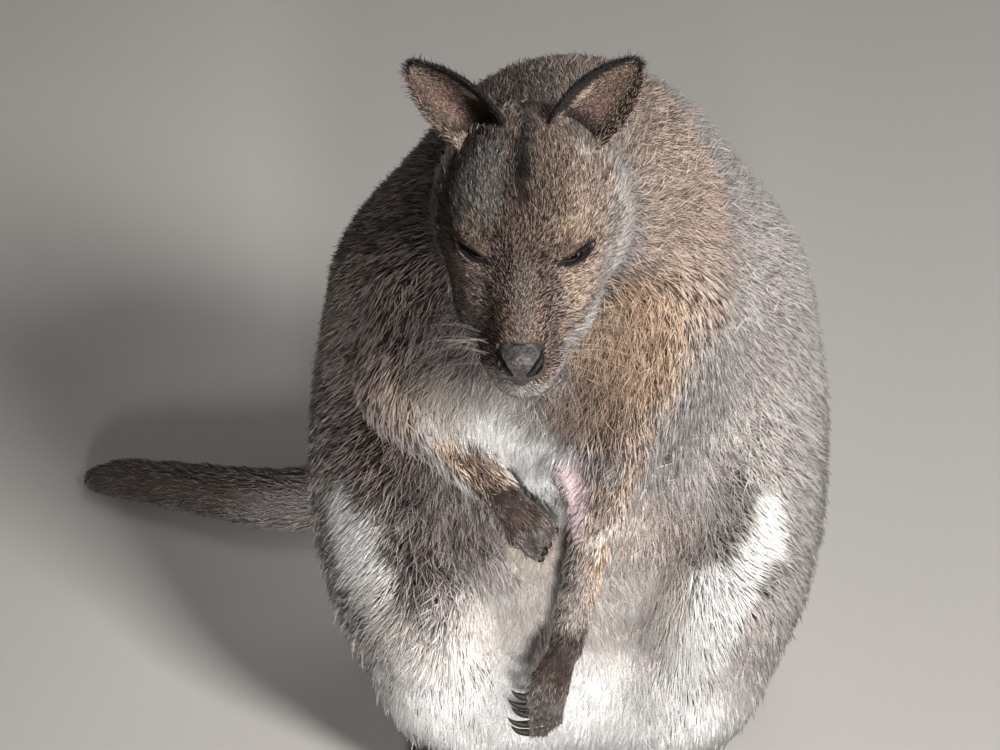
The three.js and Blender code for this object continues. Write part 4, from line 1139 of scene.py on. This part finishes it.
def lockCentres(p, size, seed):
    # the nearest point of a jittered lattice, and a random number of its own
    table = np.random.default_rng(seed).random((lattice, lattice, lattice, 4))
    base = np.floor(p / size).astype(int)
    best = np.full(len(p), 1e9)
    centre, luck = np.zeros_like(p), np.zeros(len(p))
    for i in (-1, 0, 1):
        for j in (-1, 0, 1):
            for k in (-1, 0, 1):
                cell = base + (i, j, k)
                row = table[tuple((cell % lattice).T)]
                at = (cell + row[:, :3]) * size
                far = ((at - p) ** 2).sum(1)
                nearer = far < best
                best = np.where(nearer, far, best)
                centre = np.where(nearer[:, None], at, centre)
                luck = np.where(nearer, row[:, 3], luck)
    return centre, luck


def furShare(p, normals, part, u):
    # 1 where the coat is full, and 0 where the skin is bare: lids, lips, nose, soles and armpit
    local = toHead(p)
    a, b, r = eyePlaces(local)
    gap = np.maximum(np.abs(a) - eye["slitWidth"] / 2, np.abs(b) - slitHalf(a))
    share = np.where((r > 0) & (np.hypot(a, b) < 16), ease(0.9, 2.2, gap), 1.0)
    share = share * (1 - mouthShare(local) * 0.9)
    share = share * ease(0.94, 1.06, padReach(local)) * ease(1.4, 3.2, nostrilFar(local))
    share = share * (1 - 0.9 * bareShare(p, part))
    share = share * (1 - 0.85 * fingerShare(p, part))
    share = np.where((part == "foot") & (normals[:, 2] < -0.5), 0.0, share)
    share = np.where((part == "earFront") & (u > 0.15), share * 0.8, share)
    return share


def rootsOf(spec, corners):
    # Even shares of the triangles' area, each weighed by furShare, and a random place in the triangle
    # that each share falls in: s and t of its sides, folded back where they pass the far side.
    a, b, c = (whole["points"][corners[:, n]] for n in range(3))
    area = np.linalg.norm(np.cross(b - a, c - a), axis=1) / 2
    first = corners[:, 0]
    part = whole["part"][first]
    weight = area * furShare((a + b + c) / 3, whole["normals"][first], part, whole["u"][first])
    under = ((part == "thigh") | (part == "trunk")) & (whole["normals"][first, 2] < -0.6)
    total = np.cumsum(weight * np.where(under, 0.5, 1))
    count = spec["tufts"]
    place = (np.arange(count) + chance.random(count)) / count * total[-1]
    owner = np.minimum(np.searchsorted(total, place), len(corners) - 1)
    s, t = chance.random((2, count))
    s, t = np.where(s + t > 1, 1 - s, s), np.where(s + t > 1, 1 - t, t)
    return corners[owner], np.stack([1 - s - t, s, t], -1)


def bandedColours(spec, base, light, paleness, luck, wisp):
    # banded hair: dark at the root, and further out pale, dark or the ground colour
    ticked = (ease(0.01, 0.06, light) * (1 - 0.8 * paleness) * spec["tick"])[:, None]
    draw = chance.random(len(base))
    pale = ((draw < spec["pale"]) | wisp)[:, None]
    deep = ((draw > spec["deep"]) & ~wisp)[:, None]
    warm = 0.25 + 0.75 * base / np.maximum(light, 0.01)[:, None]
    paleTip = warm * (0.6 * light + 0.36)[:, None]
    tip = np.where(pale, base + (paleTip - base) * ticked, base)
    tip = np.where(deep, base * (1 - 0.7 * ticked), tip) * (0.88 + 0.24 * chance.random((len(base), 1)))
    middle = base * (0.9 + 0.12 * luck[:, None])
    middle = np.where(pale, middle + (tip - middle) * 0.6, middle)
    middle = np.where(deep, base * (1 - 0.5 * ticked), middle)
    root = base * (0.85 - 0.43 * ticked)
    return np.clip(np.stack([root, root, middle, tip], 1), 0, 0.96)


def growCoat(name, spec, corners):
    # Each tuft is a thin tetrahedron: two feet in the skin, a keel part of the way along and a tip. It
    # runs along the lie of the hair, swayed by noise, and rises by its share of the coat's depth.
    rows, shares = rootsOf(spec, corners)
    count = len(rows)

    def at(key):
        # what the skin has at each root: its triangle's three corners by their shares
        return (whole[key][rows] * (shares if whole[key].ndim == 1 else shares[..., None])).sum(1)

    root, normal, lie, depth = at("points"), unit(at("normals")), at("lie"), at("depth")
    part = whole["part"][rows[:, 0]]
    # the colour is taken where the tuft is seen, out along it
    seen = root + normal * (depth * 0.8)[:, None] + unit(lie) * (0.5 * depth * spec["length"])[:, None]
    base = coloursOf(seen, part, normal, at("u"), at("v"))
    light = lightness(base)
    paleness = ease(0.4, 0.8, light) * spec["calm"]
    calm = (1 - 0.6 * paleness)[:, None]  # white fur is the smoothest and least banded
    lie = unit(lie) + sway(root, 30, (5, 6, 7)) * 0.9
    lie = unit(lie) + sway(root, 9, (15, 16, 17)) * 0.35 * calm
    lie = unit(lie) + chance.normal(0, spec["stray"], (count, 3)) * calm
    lie = unit(lie - normal * (lie * normal).sum(1)[:, None])
    centre, luck = lockCentres(root, spec["lock"], 11)
    vary = 0.75 + 0.3 * luck + 0.25 * chance.random(count)
    wisp = (chance.random(count) < wisps["share"]) & (depth > wisps["leastDepth"])
    length = depth * spec["length"] * np.where(wisp, wisps["length"], vary)
    pull = centre - root
    pull = (pull - normal * (pull * normal).sum(1)[:, None]) * calm
    wide = spec["width"] * (0.7 + 0.6 * chance.random(count)) * np.where(wisp, wisps["width"], 1)
    lift = 0.86 + (0.26 * luck + 0.24 * chance.random(count) - 0.25) * calm[:, 0]
    rise = depth * spec["lean"] * lift + wisp * wisps["rise"]
    keel = root + lie * (tuft["keelAlong"] * length)[:, None] + normal * (tuft["keelUp"] * rise)[:, None]
    keel = keel + pull * spec["gather"] * tuft["keelPull"]
    tip = root + lie * (tuft["tipAlong"] * length)[:, None] + normal * rise[:, None] + pull * spec["gather"]
    grown = np.isin(part, ("hand", "foot", "earBack", "earFront"), invert=True)
    if grown.any():  # tips and keels keep to their share of the coat's depth as the body curves away
        for end, share, least, most in ((tip, 1.0, -3, 9), (keel, 0.56, -2, 4)):
            past = coatField(end[grown]) - (share * rise[grown] - depth[grown])
            end[grown] -= normal[grown] * np.clip(past, least, most)[:, None]
    feet = root - normal * tuft["sunk"]
    half = np.cross(normal, lie) * wide[:, None] / 2
    points = np.stack([feet - half, feet + half, keel, tip], 1)
    points[..., 2] = np.maximum(points[..., 2], 0.5)
    faces = np.array([(1, 0, 2), (0, 3, 2), (3, 1, 2), (0, 1, 3)])
    faces = (np.arange(count)[:, None, None] * 4 + faces).reshape(-1, 3)
    colours = bandedColours(spec, base, light, paleness, luck, wisp)
    chart = chartOf(name, root)
    low, high = chart.min(0), chart.max(0)
    uv = ((chart - low) / (high - low).max() * 0.985 + 0.006)[:, None] + np.array(tuft["patch"])
    addPiece(name, points.reshape(-1, 3), faces, coatMaterial, None, colours.reshape(-1, 3),
             uv.reshape(-1, 2))


middles = whole["points"][whole["faces"]].mean(1)
belongs = pieceOf(middles, whole["part"][whole["faces"][:, 0]])
for name, spec in coatPieces.items():
    growCoat(name, {**usual, **spec}, whole["faces"][belongs == name])


wetEye, tree, shader = newMaterial("wallaby eye", 0.14, **{"Coat Weight": 0.35, "Coat Roughness": 0.08})
tree.links.new(ownColour(tree), shader.inputs["Base Color"])
# the white is painted near black: partly the eye's own dark colour, partly painted shade of the lids
eyeTones = {"pupil": tone(6, 5, 5), "iris": tone(24, 16, 12), "white": tone(22, 17, 15)}
for side, sign in (("left", 1), ("right", -1)):
    # A ball turned about the way it looks, its cornea a little proud: turn goes round that way, and
    # fall from the front to the back.
    turns, rings = eye["turns"], eye["rings"]
    turn, fall = np.meshgrid(np.linspace(0, 2 * np.pi, turns + 1)[:-1],
                             np.linspace(0.001, np.pi - 0.001, rings), indexing="ij")
    proud = eye["radius"] * (1 + eye["cornea"] * np.exp(-((fall / 0.5) ** 2)))
    along, up, out = eyeFrame()
    ball = (proud * np.sin(fall) * np.cos(turn))[..., None] * along
    ball = ball + (proud * np.sin(fall) * np.sin(turn))[..., None] * up
    ball = ball + (proud * np.cos(fall))[..., None] * out + np.array(eye["at"])
    local = ball.reshape(-1, 3) * (sign, 1, 1)
    rows = np.arange(turns)[:, None] * rings + np.arange(rings - 1)
    after = ((np.arange(turns) + 1) % turns)[:, None] * rings + np.arange(rings - 1)
    quads = np.stack([rows, rows + 1, after + 1, after], -1).reshape(-1, 4)
    ring = fall.ravel()[:, None]
    colour = np.where(ring < eye["pupil"], eyeTones["pupil"],
                      np.where(ring < eye["iris"], eyeTones["iris"], eyeTones["white"]))
    addPiece(f"eyeball_{side}", fromHead(local), quads[:, ::sign], wetEye, [f"eye_{side}"], colour)
print("eyes")

# the nose pad in the head's frame: the box and cells it is worked out in, its masses and its grain
nose = {
    "cell": 0.5, "low": (-20, -112, -22), "high": (20, -68, 20), "pebble": 1.7, "pebbleDepth": 0.5,
    "masses": [
        {"ball": (0, -87, 3.5), "size": (13, 11, 8.6), "melt": 3},
        {"ball": (0, -94, -1), "size": (12, 9, 9), "melt": 6},
        {"ball": (0, -95, -9), "size": (6.5, 7.5, 8), "melt": 6},
        {"ball": (9.5, -94.5, 0), "size": (5.6, 7, 6.2), "melt": 3.5, "twin": True},
    ],
    "groove": ((0, -104.6, 0), (0, -103, -15)),
    # hollow is near black: painted shade in the nostrils
    "pad": tone(90, 85, 86), "crust": tone(132, 118, 102), "hollow": tone(8, 7, 7),
}


def noseField(q):
    # a wide pad that runs up on to the bridge and narrows to the lip, with a lobe each side, less the
    # comma of each nostril and the groove between them
    solid = np.full(len(q), 1e3)
    for row in withTwins(nose["masses"]):
        solid = meltInto(solid, distanceTo(q, row), row["melt"])
    for row in nostril + [bar(*nose["groove"], (0.5, 0.8), 2, 0)]:
        solid = -meltInto(-solid, distanceTo(toLeft(q), row), 1.2)
    return solid


points, faces = netSurface(noseField, nose["low"], nose["high"], nose["cell"])
points = settle(points, noseField, 0.3)
hollow = nostrilFar(points)
centre, luck = lockCentres(points, nose["pebble"], 31)
rough = np.minimum(np.linalg.norm(points - centre, axis=1) / nose["pebble"], 1)
sunk = nose["pebbleDepth"] * rough**2 * ease(0, 1.5, hollow)
points = points - normalsOf(points, faces) * sunk[:, None]
mottle = 0.35 + 1.5 * luck[:, None] * cloud(points, 5, 8)[:, None]
# darker towards each pebble's edge, where the surface is sunk: painted shade in the grooves
colour = nose["pad"] * mottle * (1 - 0.45 * rough[:, None] ** 2)
crust = ease(1.9, 0.8, hollow) * ease(0.0, 0.5, hollow) * ease(0.5, 0.8, cloud(points, 1.6, 9)) * 0.4
colour = tinted(colour, nose["crust"], crust)
# near black in the nostrils: painted shade in their hollows
colour = tinted(colour, nose["hollow"], ease(1.5, 0.7, hollow))
padMaterial, tree, shader = newMaterial("wallaby nose", 0.55, **{
    "Specular IOR Level": 0.35, "Coat Weight": 0.05, "Coat Roughness": 0.3})
tree.links.new(ownColour(tree), shader.inputs["Base Color"])
pebble = grainNode(tree, "ShaderNodeTexVoronoi", Scale=900.0)
addBump(tree, shader, pebble.outputs["Distance"], 0.5, 0.0006)
addPiece("nose_pad", fromHead(points), faces, padMaterial, ["nose"], colour)


def tubes(lines, radii, sides):
    # lines is (tubes, places, 3) and radii (tubes, places): a round profile carried along each line,
    # closed at both ends
    way = unit(np.gradient(lines, axis=1))
    over = np.where(np.abs(way[:, :1, 2:3]) > 0.8, np.array([[[1.0, 0, 0]]]), np.array([[[0, 0, 1.0]]]))
    side = unit(np.cross(way, over))
    up = np.cross(side, way)
    angle = np.arange(sides) * 2 * np.pi / sides
    ring = side[:, :, None] * np.cos(angle)[:, None] + up[:, :, None] * np.sin(angle)[:, None]
    points = lines[:, :, None] + ring * radii[:, :, None, None]
    many, places = lines.shape[:2]
    t, i, s = np.meshgrid(np.arange(many), np.arange(places - 1), np.arange(sides), indexing="ij")
    after = (s + 1) % sides
    start = t * places * sides
    a, b = start + i * sides + s, start + i * sides + after
    quads = np.stack([a, a + sides, b + sides, b], -1).reshape(-1, 4)
    faces = [halved(quads)]
    fan = np.arange(1, sides - 1)
    for place, flip in ((0, 1), (places - 1, -1)):
        first = np.arange(many)[:, None] * places * sides + place * sides
        cap = np.stack([first + 0 * fan, first + fan, first + fan + 1], -1).reshape(-1, 3)
        faces.append(cap[:, ::flip])
    return points.reshape(-1, 3), np.vstack(faces)


hornMaterial, tree, shader = newMaterial("claw horn", 0.5, **{"Specular IOR Level": 0.25})
streak = grainNode(tree, "ShaderNodeTexNoise", Scale=500.0, Detail=4.0)
ramp = addNode(tree, "ShaderNodeValToRGB")
horn = ((0.35, tone(18, 15, 15)), (0.75, tone(56, 46, 42)))
for stop, (position, colour) in zip(ramp.color_ramp.elements, horn):
    stop.position = position
    stop.color = (*colour, 1)
tree.links.new(streak.outputs["Fac"], ramp.inputs["Fac"])
tree.links.new(ramp.outputs["Color"], shader.inputs["Base Color"])
addBump(tree, shader, streak.outputs["Fac"], 0.3, 0.0004)
claw = {"places": 15, "sides": 12, "straighten": 0.25, "bend": 0.4, "tipRadius": 0.12}
for name, root, way, bend, length, radius in clawRows:
    # A cone that starts along one way and bends to the other, by the square of the place along it, and
    # thins by that square too.
    t = np.linspace(0, 1, claw["places"])[:, None]
    line = np.array(root, float) + unit(np.array(way, float)) * length * (t - claw["straighten"] * t * t)
    line = line + unit(np.array(bend, float)) * length * claw["bend"] * t * t
    line = np.vstack([line[:1] - (line[1] - line[0]) * 2, line])
    thick = np.maximum(radius * (1 - np.append(0, t[:, 0]) ** 2), claw["tipRadius"])
    points, faces = tubes(line[None], thick[None], claw["sides"])
    points[:, 2] = np.maximum(points[:, 2], 0.1)
    addPiece(name.replace("claw", "nail"), points, faces, hornMaterial, [name])


def fineHairs(spec, start, way, sag, sign):
    # Hairs from their start along their way, that sag by the square of the place along them. Their
    # length is drawn between the two of the piece.
    least, most = spec["length"]
    reach = (least + (most - least) * chance.random(len(start)))[:, None, None]
    t = np.linspace(0, 1, spec["places"])[None, :, None]
    line = start[:, None] + way[:, None] * reach * t + sag * reach * t * t
    return fromHead((line * (sign, 1, 1)).reshape(-1, 3)).reshape(line.shape)


def addHairs(name, spec, lines):
    # hairs of both sides as tubes that thin towards their tips
    lines = np.concatenate(lines)
    thin = spec["radius"] * (1 - spec["taper"] * np.linspace(0, 1, spec["places"]))
    points, faces = tubes(lines, np.repeat(thin[None], len(lines), 0), spec["sides"])
    material, _, _ = newMaterial(spec["material"], spec["roughness"], **{"Base Color": spec["colour"]})
    addPiece(name, points, faces, material, None)


def drawn(count, *ranges):
    # random points, each of x, y and z between low and low + span
    return np.stack([low + span * chance.random(count) for low, span in ranges], -1)


def underCoat(q):
    # the head's own masses less the depth of their coat
    return union(q, headMasses, 1)


whiskers = {"count": 13, "length": (38, 78), "radius": 0.11, "taper": 0.8, "places": 9, "sides": 4,
            "material": "whisker", "roughness": 0.35, "colour": (0.5, 0.46, 0.42, 1)}
lines = []
for sign in (1, -1):
    root = drawn(whiskers["count"], (14, 9), (-88, 26), (-16, 14))
    start = settle(root, underCoat, 6, 3)
    way = unit(drawn(whiskers["count"], (0.9, 0.2), (-0.1, 0.8), (-0.6, 0.9)))
    lines.append(fineHairs(whiskers, start, way, np.array([-0.12, -0.2, -0.45]), sign))
addHairs("whiskers", whiskers, lines)

lashes = {"count": 46, "length": (5, 10), "radius": 0.28, "taper": 0.75, "places": 6, "sides": 3,
          "material": "lash", "roughness": 0.5, "colour": (0.012, 0.009, 0.008, 1)}
lines = []
for sign in (1, -1):
    # from the edge of the upper lid, out over the eye and towards its outer corner
    along, up, out = eyeFrame()
    a = -2 + 12.5 * np.sqrt(chance.random(lashes["count"]))
    b = slitHalf(a) + 0.5
    r = np.sqrt(np.maximum((eye["lid"] + 0.1) ** 2 - a * a - b * b, 1))
    start = np.array(eye["at"]) + a[:, None] * along + b[:, None] * up + r[:, None] * out
    way = out * 0.75 + along * (0.35 + 0.05 * a[:, None]) + up * 0.3
    way = unit(way + chance.normal(0, 0.12, (len(a), 3)))
    lines.append(fineHairs(lashes, start, way, along * 0.3 - out * 0.35, sign))
addHairs("lashes", lashes, lines)

# a plain pale floor, soft lamps and a faint even light from all round
studio = {"floorSide": 24, "floor": (0.58, 0.565, 0.545, 1), "air": (1.0, 0.985, 0.97, 1),
          "airStrength": 0.05}
floorMaterial, _, _ = newMaterial("studio floor", 0.85, **{"Base Color": studio["floor"]})
mesh = bpy.data.meshes.new("studio_floor")
far = studio["floorSide"] / 2
mesh.from_pydata([(-far, -far, 0), (far, -far, 0), (far, far, 0), (-far, far, 0)], [], [(0, 1, 2, 3)])
mesh.materials.append(floorMaterial)
studioFloor = bpy.data.objects.new("studio_floor", mesh)
bpy.context.scene.collection.objects.link(studioFloor)


def pointAt(thing, at, to):
    # puts a lamp or camera at a place and turns its -Z towards another
    thing.location = at
    thing.rotation_mode = "QUATERNION"
    thing.rotation_quaternion = Vector(np.array(to) - np.array(at)).to_track_quat("-Z", "Y")
    bpy.context.scene.collection.objects.link(thing)


# each lamp's place, and where it points if not at the middle; a cone makes it a spot lamp
lamps = {
    "key": {"at": (1.5, -2.2, 2.0), "size": 0.7, "power": 119, "colour": (1.0, 0.965, 0.925)},
    "top": {"at": (0.8, 1.4, 2.8), "size": 1.8, "power": 12, "colour": (1.0, 1.0, 1.0)},
    "side": {"at": (2.8, -0.3, 0.9), "size": 1.2, "power": 8, "colour": (1.0, 0.98, 0.96)},
    "low": {"at": (0.12, -2.6, 0.7), "size": 0.4, "power": 420, "colour": (1.0, 0.985, 0.97),
            "to": (0.02, -0.2, 0.15), "cone": 11},
}
for name, lamp in lamps.items():
    light = bpy.data.lights.new(name, "SPOT" if "cone" in lamp else "AREA")
    if "cone" in lamp:
        light.spot_size = np.radians(lamp["cone"])
        light.spot_blend = 1.0
        light.shadow_soft_size = lamp["size"] / 2
    else:
        light.size = lamp["size"]
    light.energy = lamp["power"]
    light.color = lamp["colour"]
    pointAt(bpy.data.objects.new(name, light), lamp["at"], lamp.get("to", (0.05, -0.05, 0.25)))
world = bpy.data.worlds.new("studio")
world.use_nodes = True
air = world.node_tree.nodes["Background"]
air.inputs["Color"].default_value = studio["air"]
air.inputs["Strength"].default_value = studio["airStrength"]
bpy.context.scene.world = world
bpy.context.scene.view_settings.view_transform = "Standard"

view = {"at": (0.0476, -2.0318, 1.407), "to": (0.0476, -0.0832, 0.282), "lens": 126.5625, "sensor": 36}
camera = bpy.data.cameras.new("camera")
camera.lens = view["lens"]
camera.sensor_width = view["sensor"]
viewer = bpy.data.objects.new("camera", camera)
pointAt(viewer, view["at"], view["to"])
bpy.context.scene.camera = viewer
print("floor, lamps and camera")
